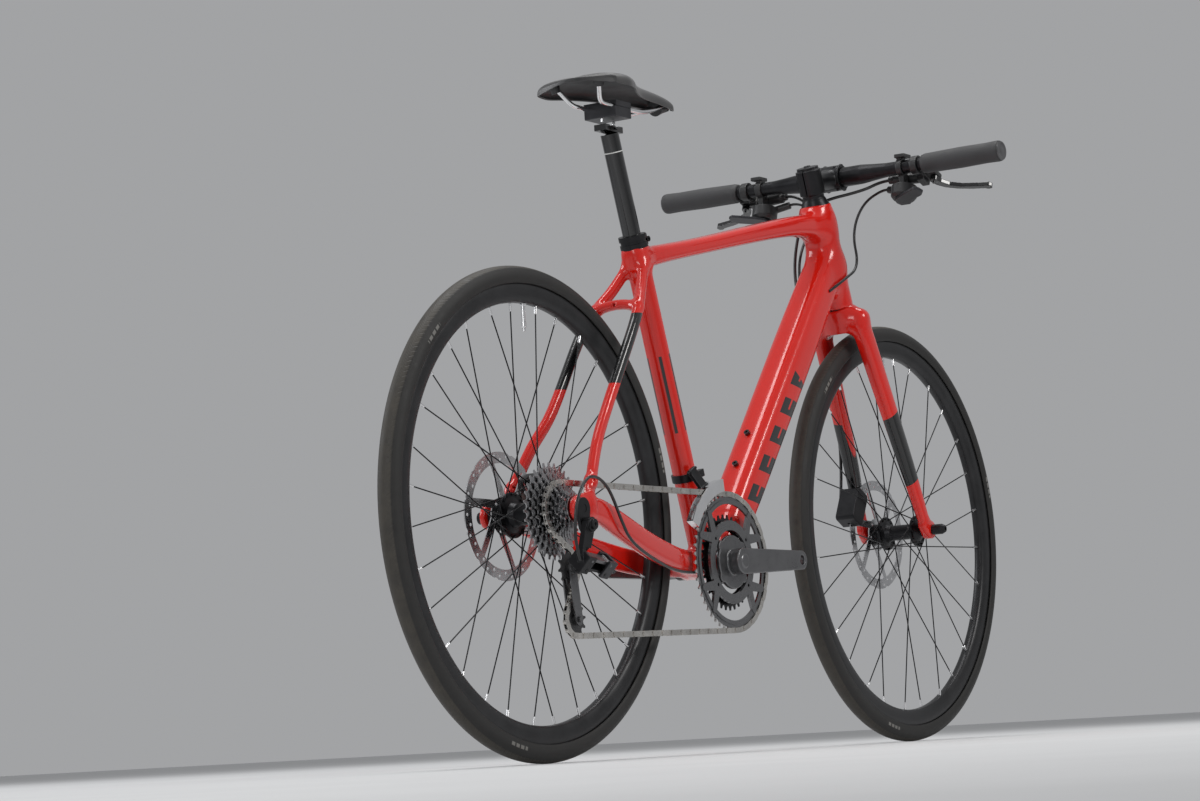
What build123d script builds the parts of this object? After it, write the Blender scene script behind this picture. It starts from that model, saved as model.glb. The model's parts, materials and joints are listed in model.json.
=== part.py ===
from build123d import *
import math
import os

os.makedirs("parts", exist_ok=True)

# Flat-bar road bicycle, modelled about its rear axle and moved so that the
# origin lies on the ground, half way between the axles. X forward, Y left, Z up.
# ---------------------------------------------------------------- dimensions
WHEELBASE = 1064.5
WHEEL_R = 343.0            # 622 x 32 tyre
TYRE_W = 32.0
RIM_FLANGE_R = 317.5
RIM_BED_R = 292.0
RIM_W = 22.4
BB = (444.0, 280.0)        # bottom bracket centre, x and z
SEAT_ANGLE = 72.5
HEAD_ANGLE = 72.5
FORK_RAKE = 45.0
SEAT_TUBE_L = 500.0
SEAT_TUBE_R = 17.45
SEATPOST_R = 13.6
HEAD_S0, HEAD_S1 = 394.0, 563.0      # head tube ends, along the steering axis from the foot of the rake
STEERER_R = 14.3
REAR_OLD = 142.0
FRONT_OLD = 100.0
AXLE_R = 6.0
RUN = 0.06                 # radial clearance of the running fits
CHAIN_Y = -46.0
PITCH = 12.7
RING_T, RING_IN_T = 50, 34
COGS = [11, 12, 13, 15, 17, 19, 21, 24, 28, 32]
COG_STEP = 3.95
CHAIN_COG = 5              # 19 teeth, in line with the outer chainring
PULLEY_T = 11
CRANK_L = 172.5
CRANK_ANGLE = 1.5
ROTOR_R = 90.0
REAR_ROTOR_Y, FRONT_ROTOR_Y = 52.2, 39.8
ROTOR_T = 1.8
BAR_X, BAR_Z = 912.0, 918.0
BAR_HALF = 310.0
BAR_SWEEP = 11.5           # backward sweep of each bar end
STEM_Z = 904.0

REAR = Vector(0, 0, WHEEL_R)
FRONT = Vector(WHEELBASE, 0, WHEEL_R)
SHIFT = Location((-WHEELBASE / 2, 0, 0))


# ------------------------------------------------------------------- helpers
def cyl(p, q, r):
    p, q = Vector(*p), Vector(*q)
    d = q - p
    return Plane(origin=p, z_dir=d) * Cylinder(r, d.length, align=(Align.CENTER, Align.CENTER, Align.MIN))


def cone(p, q, r1, r2):
    p, q = Vector(*p), Vector(*q)
    d = q - p
    return Plane(origin=p, z_dir=d) * Cone(r1, r2, d.length, align=(Align.CENTER, Align.CENTER, Align.MIN))


def ycyl(x, z, y0, y1, r):
    return cyl((x, min(y0, y1), z), (x, max(y0, y1), z), r)


def bx(c, s):
    return Pos(*c) * Box(*s)


def obox(c, s, xd, zd):
    return Plane(origin=c, x_dir=xd, z_dir=zd) * Box(*s)


def prism(pts, y0, y1):
    """Polygon in the XZ plane, carried from y0 to y1."""
    w = Polyline([(x, min(y0, y1), z) for x, z in pts], close=True)
    return extrude(make_face(w), amount=abs(y1 - y0), dir=(0, 1, 0))


def stadium(p, q, r1, r2, y0, y1):
    """Outline tangent to two circles in the XZ plane, carried from y0 to y1."""
    (x1, z1), (x2, z2) = p, q
    d = math.hypot(x2 - x1, z2 - z1)
    a = math.atan2(z2 - z1, x2 - x1)
    b = math.acos((r1 - r2) / d)
    pts = [(x1 + r1 * math.cos(a + b), z1 + r1 * math.sin(a + b)),
           (x2 + r2 * math.cos(a + b), z2 + r2 * math.sin(a + b)),
           (x2 + r2 * math.cos(a - b), z2 + r2 * math.sin(a - b)),
           (x1 + r1 * math.cos(a - b), z1 + r1 * math.sin(a - b))]
    return prism(pts, y0, y1) + ycyl(x1, z1, y0, y1, r1) + ycyl(x2, z2, y0, y1, r2)


def oval_loft(sections):
    """Each section is (point, half size along local x, half size along y, direction)."""
    faces = []
    for p, a, b, d in sections:
        d = Vector(*d).normalized()
        xd = Vector(0, 1, 0).cross(d)
        faces.append(Plane(origin=p, x_dir=xd, z_dir=d) * Ellipse(a, b))
    return loft([f.face() if not isinstance(f, Face) else f for f in faces], ruled=False)


def hose(pts, r, fillet):
    path = FilletPolyline(*[Vector(*p) for p in pts], radius=fillet)
    return sweep(Plane(origin=path @ 0, z_dir=path % 0) * Circle(r), path=path)


def ring_y(x, z, y0, y1, ro, ri):
    return ycyl(x, z, y0, y1, ro) - ycyl(x, z, y0 - 1, y1 + 1, ri)


def revolve_y(pts, x, z):
    """Closed profile of (radius, y) points turned about the Y line through x, z."""
    w = Polyline([(x + r, y, z) for r, y in pts], close=True)
    return revolve(make_face(w), Axis((x, 0, z), (0, 1, 0)), 360)


def out(name, *solids):
    s = []
    for o in solids:
        s += list(o.solids()) if hasattr(o, "solids") else list(o)
    c = Compound(children=[SHIFT * k for k in s]) if len(s) > 1 else SHIFT * s[0]
    export_step(c, "parts/%s.step" % name)
    return c


def rot2(p, c, deg):
    a = math.radians(deg)
    dx, dz = p[0] - c[0], p[1] - c[1]
    return (c[0] + dx * math.cos(a) - dz * math.sin(a), c[1] + dx * math.sin(a) + dz * math.cos(a))


# ------------------------------------------------------- axes of the frameset
sa, ha = math.radians(SEAT_ANGLE), math.radians(HEAD_ANGLE)
ST_D = Vector(-math.cos(sa), 0, math.sin(sa))
HT_D = Vector(-math.cos(ha), 0, math.sin(ha))
HT_A = FRONT - Vector(math.sin(ha), 0, math.cos(ha)) * FORK_RAKE
BBV = Vector(BB[0], 0, BB[1])


def st(s):
    return BBV + ST_D * s


def ht(s):
    return HT_A + HT_D * s


def tup(v):
    return (v.X, v.Y, v.Z)


# ------------------------------------------------------------ frame, the tubes
HEAD_R0, HEAD_R1 = 27.0, 24.0
head_outer = cone(tup(ht(HEAD_S0)), tup(ht(HEAD_S1)), HEAD_R0, HEAD_R1)
bb_outer = ycyl(*BB, -34, 34, 21.5)
seat_outer = cyl(tup(st(0)), tup(st(SEAT_TUBE_L)), SEAT_TUBE_R)

head_tube = (head_outer
             - cyl(tup(ht(HEAD_S0 + 14)), tup(ht(HEAD_S1 - 13)), 18.0)
             - cyl(tup(ht(HEAD_S0 - 1)), tup(ht(HEAD_S0 + 14)), 23.5)
             - cyl(tup(ht(HEAD_S1 - 13)), tup(ht(HEAD_S1 + 1)), 20.9))
seat_tube = (seat_outer + bb_outer
             - cyl(tup(st(30)), tup(st(SEAT_TUBE_L + 1)), SEATPOST_R + 0.05)
             - ycyl(*BB, -40, 40, 17.5))
seat_tube -= bx(tup(st(SEAT_TUBE_L - 20) + Vector(-SEAT_TUBE_R, 0, 0)), (14, 2.4, 60))

tt = [(300, 726), (370, 741), (484.5, 765), (637, 798), (745, 820), (800, 828), (862, 834)]


def tube_xz(pts, sizes):
    sec = []
    for i, (x, z) in enumerate(pts):
        a = pts[max(i - 1, 0)]
        b = pts[min(i + 1, len(pts) - 1)]
        sec.append(((x, 0, z), sizes[i][0], sizes[i][1], (b[0] - a[0], 0, b[1] - a[1])))
    return oval_loft(sec)


top_tube = tube_xz(tt, [(17, 16), (14, 19), (13, 20), (14, 20.5), (15.5, 20), (17.5, 20), (19, 20)])
top_tube = top_tube - seat_outer - head_outer
dt = [(462, 271.5), (545, 373), (640, 489), (760, 635.5), (862, 760)]
down_tube = tube_xz(dt, [(25, 30), (31, 29), (32, 29), (32, 29), (30, 27)])
down_tube = down_tube - head_outer - bb_outer - seat_outer - top_tube
down_tube -= cyl(tup(ht(HEAD_S0 - 40)), tup(ht(HEAD_S0)), 60)


def widest(s):
    k = sorted(s.solids(), key=lambda o: -o.volume)
    return k[0]


top_tube, down_tube = widest(top_tube), widest(down_tube)

# rear triangle
CS = [(30, 73, 345, 15, 6.5), (63, 69, 341, 17.5, 8), (119, 62.5, 325, 19, 8), (213, 49, 300, 19, 8),
      (300, 36.5, 284, 18, 7), (360, 28, 279.5, 17, 6), (428, 26, 278.5, 16, 6)]
SS = [(299, 13, 716, 8, 7.5), (268, 26, 676, 8, 7.5), (238, 38.5, 644, 8.5, 7.5), (205, 45, 603, 8.5, 7),
      (131, 46.5, 496, 8.5, 7), (88, 53, 440, 8.5, 7), (53, 63, 386, 8.5, 7), (30, 72, 358, 8.5, 6.5)]


def stay(pts, side, cap):
    sec = []
    if side > 0 and pts is SS:
        pts = [(x, y + {440: 6.0, 386: 5.0, 496: 1.5}.get(z, 0.0), z, a, b) for x, y, z, a, b in pts]
    for i, (x, y, z, a, b) in enumerate(pts):
        p, q = pts[max(i - 1, 0)], pts[min(i + 1, len(pts) - 1)]
        sec.append(((x, side * y, z), a, b, (q[0] - p[0], side * (q[1] - p[1]), q[2] - p[2])))
    return oval_loft(sec)


def dropout(side):
    y0, y1 = REAR_OLD / 2 * side, (REAR_OLD / 2 + 8) * side
    d = stadium((0, 343), (34, 350), 18, 20, y0, y1)
    d += prism([(20, 362), (46, 366), (62, 350), (40, 330)], y0, y1)
    return d - ycyl(0, 343, y0 - 3 * side, y1 + 3 * side, AXLE_R + 0.02)


chainstay = {}
seatstay = {}
for side, nm in ((1, "left"), (-1, "right")):
    d = dropout(side)
    c = stay(CS, side, 0) - bb_outer - seat_outer
    chainstay[nm] = c + d
    s = stay(SS, side, 0) - seat_outer - top_tube - chainstay[nm]
    seatstay[nm] = widest(s)
bridge_path = [(238, -36, 646), (240, -14, 652), (240, 14, 652), (238, 36, 646)]
bridge = hose(bridge_path, 7.5, 20) - seatstay["left"] - seatstay["right"]
bridge = widest(bridge) - cyl((205, 0, 652), (275, 0, 652), 2.6)
# rack eyes at the foot of the seatstays
EYE = (47, 385)
for nm, side in (("left", 1), ("right", -1)):
    seatstay[nm] = widest(seatstay[nm] - ycyl(EYE[0], EYE[1], side * 60, side * 85, 2.55))
# flat-mount face of the rear brake: two bolts through the left chainstay
rear_cal_c = (78.0, 400.0)

# hanger and its bolt
hanger = stadium((0, 343), (1, 320), 15, 10.5, -79, -84)
hanger -= ycyl(0, 343, -90, -70, AXLE_R + 0.02)
hanger -= ycyl(1, 320, -90, -70, 5.0)

# small fixed parts
DT_D = Vector(dt[2][0] - dt[1][0], 0, dt[2][1] - dt[1][1]).normalized()
DT_N = Vector(-DT_D.Z, 0, DT_D.X)
bolts = []
holes = []
for t in (0.155, 0.155 + 64 / Vector(dt[3][0] - dt[1][0], 0, dt[3][1] - dt[1][1]).length):
    base = Vector(dt[1][0], 0, dt[1][1]) + (Vector(dt[3][0], 0, dt[3][1]) - Vector(dt[1][0], 0, dt[1][1])) * t
    holes.append(cyl(tup(base + DT_N * 18), tup(base + DT_N * 45), 2.5))
    bolts.append(cyl(tup(base + DT_N * 22), tup(base + DT_N * 32.6), 2.45) + cyl(tup(base + DT_N * 32.6), tup(base + DT_N * 37), 4.6)
                 - cyl(tup(base + DT_N * 34.5), tup(base + DT_N * 38), 2.0))
ST_N = Vector(math.sin(sa), 0, math.cos(sa))
for s in (205, 269):
    base = st(s)
    holes.append(cyl(tup(base + ST_N * 14.2), tup(base + ST_N * 30), 2.5))
    bolts.append(cyl(tup(base + ST_N * 14.2), tup(base + ST_N * 17.9), 2.45) + cyl(tup(base + ST_N * 17.9), tup(base + ST_N * 22), 4.6)
                 - cyl(tup(base + ST_N * 19.6), tup(base + ST_N * 23), 2.0))
down_tube = widest(down_tube - holes[0] - holes[1])
seat_tube = seat_tube - holes[2] - holes[3]
down_tube -= bolts[0] + bolts[1]
down_tube = widest(down_tube)
seat_tube = widest(seat_tube - bolts[2] - bolts[3])

collar = (cyl(tup(st(SEAT_TUBE_L - 16)), tup(st(SEAT_TUBE_L + 4)), 20.6)
          - cyl(tup(st(SEAT_TUBE_L - 17)), tup(st(SEAT_TUBE_L)), SEAT_TUBE_R + 0.03)
          - cyl(tup(st(SEAT_TUBE_L - 1)), tup(st(SEAT_TUBE_L + 5)), SEATPOST_R + 0.25))
collar -= cyl(tup(st(SEAT_TUBE_L - 8.5)), tup(st(SEAT_TUBE_L - 3.5)), 30) - cyl(tup(st(SEAT_TUBE_L - 17)), tup(st(SEAT_TUBE_L + 5)), 18.9)
cb = st(SEAT_TUBE_L - 6) + Vector(24, 0, 6)
collar += obox(tup(cb), (10, 14, 16), (1, 0, 0), tup(ST_D)) - cyl(tup(st(SEAT_TUBE_L - 40)), tup(st(SEAT_TUBE_L + 20)), 18.9)
collar = widest(collar - ycyl(cb.X + 1, cb.Z, -20, 20, 2.7))
collar_bolt = ycyl(cb.X + 1, cb.Z, -9, 9, 2.65) + ycyl(cb.X + 1, cb.Z, -12, -7.05, 4.2) + ycyl(cb.X + 1, cb.Z, 7.05, 10, 4.0)
collar_bolt -= ycyl(cb.X + 1, cb.Z, -13, -9.5, 2.1)

cup = []
for side in (1, -1):
    c = ycyl(*BB, side * 34, side * 44, 21.0) + ycyl(*BB, side * 18, side * 34, 17.45)
    cup.append(c - ycyl(*BB, side * 10, side * 50, 12.0 + RUN))
headset = [
    cyl(tup(ht(HEAD_S0 - 2.2)), tup(ht(HEAD_S0 + 13.9)), 23.4) - cyl(tup(ht(HEAD_S0 - 3)), tup(ht(HEAD_S0 + 15)), 20.0),
    cyl(tup(ht(HEAD_S1 - 12.9)), tup(ht(HEAD_S1 - 0.2)), 20.8) - cyl(tup(ht(HEAD_S1 - 14)), tup(ht(HEAD_S1 + 1)), STEERER_R + RUN),
]

# ------------------------------------------------------------------ front fork
CROWN_S0, CROWN_S1 = 352.0, 391.0
crown = cyl(tup(ht(CROWN_S0 + 4)), tup(ht(CROWN_S1)), 25.5)
crown += cone(tup(ht(CROWN_S1)), tup(ht(CROWN_S1 + 12)), 19.8, 15)
crown += cyl(tup(ht(CROWN_S1)), tup(ht(640)), STEERER_R)
LEG = [(915, 30, 681, 19, 15), (921, 37.5, 655, 19, 13), (947, 41, 598, 18, 12.5), (982, 46, 520, 16.5, 11.5),
       (1013, 50.5, 450, 15, 10.5), (1034, 55, 396, 13, 9), (1046, 57, 366, 12, 8), (1056, 57.5, 345, 12, 7)]


def leg(side):
    sec = []
    for i, (x, y, z, a, b) in enumerate(LEG):
        p, q = LEG[max(i - 1, 0)], LEG[min(i + 1, len(LEG) - 1)]
        sec.append(((x, side * y, z), a, b, (q[0] - p[0], side * (q[1] - p[1]), q[2] - p[2])))
    g = oval_loft(sec)
    y0, y1 = side * FRONT_OLD / 2, side * (FRONT_OLD / 2 + 14)
    g += stadium((1052, 352), (WHEELBASE, 343), 13, 14.5, y0, y1)
    g -= ycyl(WHEELBASE, 343, y0 - 5 * side, y1 + 5 * side, AXLE_R + 0.02)
    g -= bx((WHEELBASE, side * 25, 343), (90, 50, 60))
    return g


crown += prism([(tup(ht(CROWN_S0 + 12))[0] + 27, tup(ht(CROWN_S0 + 12))[2] + 4), (tup(ht(CROWN_S1 - 3))[0] + 24, tup(ht(CROWN_S1 - 3))[2]),
                (tup(ht(CROWN_S1 - 3))[0] - 22, tup(ht(CROWN_S1 - 3))[2] - 8), (tup(ht(CROWN_S0 + 6))[0] - 18, tup(ht(CROWN_S0 + 6))[2] - 6)], -33, 33)
wheel_clear = ycyl(WHEELBASE, 343, -24, 24, WHEEL_R + 9)
crown = widest(crown - wheel_clear)
fork_leg = {}
for side, nm in ((1, "left"), (-1, "right")):
    fork_leg[nm] = widest(leg(side) - crown - wheel_clear)
LEG_BOLT = (1009, 497)
front_axle = ycyl(WHEELBASE, 343, -67, 62, AXLE_R) + ycyl(WHEELBASE, 343, -82, -65.6, 8.5) + cone((WHEELBASE, -82, 343), (WHEELBASE, -88, 343), 8.5, 5.5)
front_axle -= ycyl(WHEELBASE, 343, -90, -80, 3.0)
rear_axle = ycyl(0, 343, -83.5, 77, AXLE_R) + ycyl(0, 343, 79.2, 90, 8.5) + ycyl(0, 343, 76, 80, AXLE_R)
rear_axle -= ycyl(0, 343, 84, 92, 3.0)

# ------------------------------------------------------------------ cockpit
stem_a = Vector(ht(0).X, 0, 0)
sz = (STEM_Z - HT_A.Z) / HT_D.Z
stem_c = ht(sz)
bar_c = Vector(BAR_X, 0, BAR_Z)
stem_d = (bar_c - stem_c).normalized()
stem = cyl(tup(ht(sz - 20)), tup(ht(sz + 20)), 20.5)
stem += oval_loft([(tup(stem_c + stem_d * 6), 16.5, 17, tup(stem_d)), (tup(stem_c + stem_d * 34), 14, 15, tup(stem_d)),
                   (tup(bar_c - stem_d * 16), 17, 20, tup(stem_d))])
stem += ycyl(BAR_X, BAR_Z, -22, 22, 21.0)
split = Plane(origin=tup(bar_c), x_dir=(0, 1, 0), z_dir=tup(stem_d))
front_half = split * Box(80, 80, 60, align=(Align.CENTER, Align.CENTER, Align.MIN))
slot = split * Box(80, 80, 1.6)
bar_hole = ycyl(BAR_X, BAR_Z, -40, 40, 15.93)
faceplate = widest((ycyl(BAR_X, BAR_Z, -21, 21, 21.0) & front_half) - slot - bar_hole)
stem = widest(stem - front_half - slot - bar_hole - cyl(tup(ht(sz - 30)), tup(ht(sz + 30)), STEERER_R + 0.02)
              - obox(tup(ht(sz) - Vector(22, 0, 0)), (26, 1.8, 60), (1, 0, 0), tup(HT_D)))
stem_u = Vector(-stem_d.Z, 0, stem_d.X)
fp_bolts = []
for sy in (-14.5, 14.5):
    for sk in (-1, 1):
        p = bar_c + stem_u * (18.6 * sk) + Vector(0, sy, 0)
        hole = cyl(tup(p - stem_d * 16), tup(p + stem_d * 30), 2.3)
        fp_bolts.append(cyl(tup(p - stem_d * 13), tup(p + stem_d * 9.5), 2.25) + cyl(tup(p + stem_d * 9.5), tup(p + stem_d * 13.5), 3.9))
        faceplate = faceplate - hole - cyl(tup(p + stem_d * 9.4), tup(p + stem_d * 30), 4.0)
        stem = stem - hole
stem, faceplate = widest(stem), widest(faceplate)
cap_cone = cone(tup(ht(HEAD_S1 + 0.4)), tup(ht(HEAD_S1 + 12)), 23.5, 18.5) + cyl(tup(ht(HEAD_S1 + 12)), tup(ht(sz - 20.1)), 17.6)
cap_cone -= cyl(tup(ht(HEAD_S1 - 1)), tup(ht(sz)), STEERER_R + 0.02)
top_cap = cyl(tup(ht(sz + 20.1)), tup(ht(sz + 25)), 17.6) + cyl(tup(ht(sz + 25)), tup(ht(sz + 27.5)), 5.5)
top_cap -= cyl(tup(ht(sz + 25.5)), tup(ht(sz + 28)), 2.6)
crown = widest(crown & cyl(tup(ht(CROWN_S0 - 60)), tup(ht(sz + 19)), 90)) - cyl(tup(ht(CROWN_S1 + 20)), tup(ht(660)), 11.8)
crown = widest(crown)

bar_pts = []


def bar_x(y):
    y = abs(y)
    return BAR_X - max(0.0, (y - 45)) / (BAR_HALF - 45) * BAR_SWEEP


def bar_section(y, r):
    return Plane(origin=(bar_x(y), y, BAR_Z), x_dir=(1, 0, 0), z_dir=(0, 1, 0)) * Circle(r)


bar = ycyl(BAR_X, BAR_Z, -45, 45, 15.9)
for s in (1, -1):
    f = [bar_section(s * y, r) for y, r in ((45, 15.9), (58, 15.7), (82, 13.2), (105, 11.3), (120, 11.1), (BAR_HALF, 11.1))]
    bar += loft([k.face() for k in f], ruled=True)
    bar -= Plane(origin=(bar_x(BAR_HALF + 1), s * (BAR_HALF + 1), BAR_Z), z_dir=(-(-BAR_SWEEP / 265) * 1.0, -s, 0)) * Cylinder(9.0, 170, align=(Align.CENTER, Align.CENTER, Align.MIN))
bar = widest(bar)
grips, plugs = [], []
for s in (1, -1):
    f = [bar_section(s * y, r) for y, r in ((172, 14.6), (176, 16.0), (196, 16.2), (240, 16.9), (285, 16.2), (307, 16.8), (311, 16.2))]
    g = loft([k.face() for k in f], ruled=True)
    h = loft([bar_section(s * y, 11.13).face() for y in (160, 330)], ruled=True)
    grips.append(widest(g - h))
    p = loft([bar_section(s * 311.2, 15.2).face(), bar_section(s * 314.2, 14.6).face()], ruled=True)
    pl = loft([bar_section(s * 290, 8.6).face(), bar_section(s * 311.4, 8.6).face()], ruled=True)
    plugs.append(p + pl)

# brake levers and shifter pods, one of each side
LEVER_PIVOT = (932.0, 176.0, 896.0)
LEVER_AX = Vector(0.36, 0, 0.93).normalized()
LEVER_D = Vector(0.93, 0, -0.36)
lever_bodies, levers, shifters, paddles, lever_pins = [], {}, [], {}, []
SHIFT_BASE = (914.0, 130.0, 879.0)
SHIFT_AX = Vector(0.30, 0, 0.95).normalized()
for s, nm in ((1, "left"), (-1, "right")):
    clamp = loft([bar_section(s * 152, 15.0).face(), bar_section(s * 164, 15.0).face()], ruled=True)
    hole = loft([bar_section(s * y, 11.13).face() for y in (100, 200)], ruled=True)
    body = clamp + obox((924, s * 157, 909), (20, 12, 14), tup(LEVER_D), tup(LEVER_AX))
    # master cylinder lies inboard along the bar, below and ahead of it
    body += cyl((936, s * 150, 902), (931, s * 104, 904), 9.0)
    body += cyl((934.9, s * 140, 902.43), (930.13, s * 96, 904.35), 6.2)
    body += obox((934, s * 166.3, 900.2), (22.6, 33.2, 16.4), tup(LEVER_D), tup(LEVER_AX))
    body -= hole
    # fork for the lever
    pv = Vector(LEVER_PIVOT[0], s * LEVER_PIVOT[1], LEVER_PIVOT[2])
    body += Plane(origin=tup(pv), z_dir=tup(LEVER_AX)) * Cylinder(7.5, 17)
    body -= Plane(origin=tup(pv), x_dir=tup(LEVER_D), z_dir=tup(LEVER_AX)) * Pos(0, 0, 0) * Box(34, 26, 9.2)
    body -= Plane(origin=tup(pv), z_dir=tup(LEVER_AX)) * Cylinder(2.05, 40)
    lever_bodies.append(widest(body))
    pin = Plane(origin=tup(pv), z_dir=tup(LEVER_AX)) * Cylinder(2.0, 17.2)
    pl = Plane(origin=tup(pv), x_dir=tup(LEVER_D), z_dir=tup(LEVER_AX))
    # lever outline in its own plane: local x forward, local y = LEVER_AX x LEVER_D
    ys = s
    outline = [(-5, -3), (-4, 5), (8, 9), (21, 18), (30, 34), (36, 60), (39, 78), (44, 82), (50, 80), (51, 74), (47, 68), (43, 48), (36, 26), (26, 8), (14, -3), (2, -6)]
    w = Polyline([(x, ys * y) for x, y in outline], close=True)
    lv = extrude(pl * make_face(w), amount=3.6, both=True)
    lv = (lv + Plane(origin=tup(pv), z_dir=tup(LEVER_AX)) * Cylinder(6.5, 8.6)) & (pl * Box(200, 300, 8.6))
    levers[nm] = widest(lv + pin)
    # shifter pod under the bar, inboard of the brake clamp
    c2 = loft([bar_section(s * 126, 14.4).face(), bar_section(s * 136, 14.4).face()], ruled=True)
    pod = c2 + obox((912, s * 131, 900), (16, 9, 18), (1, 0, 0), (0, 0, 1))
    Q = Vector(SHIFT_BASE[0], s * SHIFT_BASE[1], SHIFT_BASE[2])
    pod += Plane(origin=tup(Q), z_dir=tup(SHIFT_AX)) * Cylinder(21, 17)
    pod += Plane(origin=tup(Q - SHIFT_AX * 11), z_dir=tup(SHIFT_AX)) * Cone(17, 20.9, 5)
    pod += cyl((927, s * 118, 884), (934, s * 92, 890), 6.0)
    pod += obox((908, s * 134, 935.5), (26, 18, 6), (1, 0, 0), (0, 0, 1)) + obox((905, s * 131, 930), (10, 8, 8), (1, 0, 0), (0, 0, 1))
    pod -= hole
    pod -= body
    pod -= Plane(origin=tup(Q - SHIFT_AX * 10), z_dir=tup(SHIFT_AX)) * Cylinder(3.0 + RUN, 10)
    shifters.append(widest(pod))
    # thumb paddle below the pod, turning about the pod's own axis
    pc = Plane(origin=tup(Q - SHIFT_AX * 16.6), x_dir=(SHIFT_AX.Z, 0, -SHIFT_AX.X), z_dir=tup(SHIFT_AX))
    o2 = [(-12, -9), (-20, 2), (-34, 26), (-40, 38), (-36, 46), (-24, 48), (-14, 40), (-4, 20), (10, 8), (10, -8), (0, -12)]
    pad = extrude(pc * make_face(Polyline([(x, s * y) for x, y in o2], close=True)), amount=2.2, both=True)
    pad += cyl(tup(Q - SHIFT_AX * 16), tup(Q - SHIFT_AX * 6), 3.0)
    paddles[nm] = widest(pad)

# ------------------------------------------------------------------- wheels
def tooth_ring(x, z, y0, y1, teeth, phase, root_cut, height, bore):
    """Sprocket blank with round-bottomed tooth gaps approximated by facets; phase is a roller's angle."""
    rp = PITCH / (2 * math.sin(math.pi / teeth))
    pts = []
    step = 2 * math.pi / teeth
    rr = 4.05
    for i in range(teeth):
        a = phase + i * step
        cx, cz = rp * math.cos(a), rp * math.sin(a)
        # three facets round the roller seat, then the tooth tip half way to the next roller
        for k in (72, 36, 0, -36, -72):
            b = a + math.pi + math.radians(k)
            pts.append((x + cx + rr * 1.06 * math.cos(b), z + cz + rr * 1.06 * math.sin(b)))
        for f in (0.40, 0.60):
            b = a + step * f
            pts.append((x + (rp + height) * math.cos(b), z + (rp + height) * math.sin(b)))
    s = prism(pts, y0, y1)
    return s - ycyl(x, z, y0 - 2, y1 + 2, bore)


def wheel(cx, hub, spokes, cross, yl, yr, rl, rr, valve_a):
    c = (cx, 343.0)
    h = RIM_W / 2
    rim = revolve_y([(RIM_BED_R, -5.5), (RIM_BED_R, 5.5), (297, h - 2.2), (304, h - 0.4), (RIM_FLANGE_R, h), (RIM_FLANGE_R, h - 1.8), (311, h - 2.0), (309, 3), (308, 0),
                     (309, -3), (311, -h + 2.0), (RIM_FLANGE_R, -h + 1.8), (RIM_FLANGE_R, -h), (304, -h + 0.4), (297, -h + 2.2)], *c)
    rim -= revolve_y([(294, -5), (294, 5), (298.5, h - 3.6), (305.5, h - 3.8), (306.0, 0), (305.5, -h + 3.8), (298.5, -h + 3.6)], *c)
    a = math.radians(valve_a)
    vd = Vector(math.cos(a), 0, math.sin(a))
    vc = Vector(cx, 0, 343)
    rim = rim - cyl(tup(vc + vd * 280), tup(vc + vd * 330), 3.25)
    valve = cyl(tup(vc + vd * 258), tup(vc + vd * 310), 3.0) + cyl(tup(vc + vd * 252), tup(vc + vd * 258), 2.2) + cyl(tup(vc + vd * 285), tup(vc + vd * 290), 5.0)
    rimw = widest(rim)
    outer = Plane(origin=(cx, 0, 343), x_dir=(1, 0, 0), z_dir=(0, 0, 1)) * (Pos(327, 0) * Circle(TYRE_W / 2))
    inner = Plane(origin=(cx, 0, 343), x_dir=(1, 0, 0), z_dir=(0, 0, 1)) * (Pos(327, 0) * Circle(TYRE_W / 2 - 2.6))
    ax = Axis((cx, 0, 343), (0, 1, 0))
    t = revolve(outer.face() if hasattr(outer, "face") else outer, ax, 360) - revolve(inner.face() if hasattr(inner, "face") else inner, ax, 360)
    t -= revolve_y([(300, -h - 0.02), (300, h + 0.02), (RIM_FLANGE_R + 0.02, h + 0.02), (RIM_FLANGE_R + 0.02, -h - 0.02)], *c)
    t -= revolve_y([(300, -40), (300, 40), (RIM_FLANGE_R - 3, 40), (RIM_FLANGE_R - 3, -40)], *c)
    tyre = widest(t)
    sp, nip = [], []
    n2 = spokes // 2
    for side, yf, rf in ((1, yl, rl), (-1, yr, rr)):
        for i in range(n2):
            lead = 1 if i % 2 == 0 else -1
            rim_i = 2 * i + (0 if side == 1 else 1)
            ra = math.radians(valve_a) + (rim_i + 0.5) * 2 * math.pi / spokes
            hub_step = 2 * math.pi / n2
            ha_ = ra - lead * cross * hub_step * 0.985
            outb = (lead > 0) == (side > 0)
            yo = yf + lead * (4.4 if outb else 2.7)
            P = Vector(cx + rf * math.cos(ha_), yo, 343 + rf * math.sin(ha_))
            Q = Vector(cx + 292.0 * math.cos(ra), side * 1.6, 343 + 292.0 * math.sin(ra))
            d = (Q - P).normalized()
            s1 = cyl(tup(P), tup(P + d * ((Q - P).length - 1.0)), 0.95)
            s1 = s1 + cyl((P.X, yf - 3.0 * lead, P.Z), (P.X, yo + 0.7 * lead, P.Z), 1.03)
            sp.append(s1)
            L = (Q - P).length
            nip.append((cyl(tup(P + d * (L - 12.0)), tup(P + d * (L - 0.9)), 1.95) - cyl(tup(P + d * (L - 20)), tup(P + d * (L + 1)), 0.96)))
    return rimw, valve, tyre, sp, nip


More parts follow.
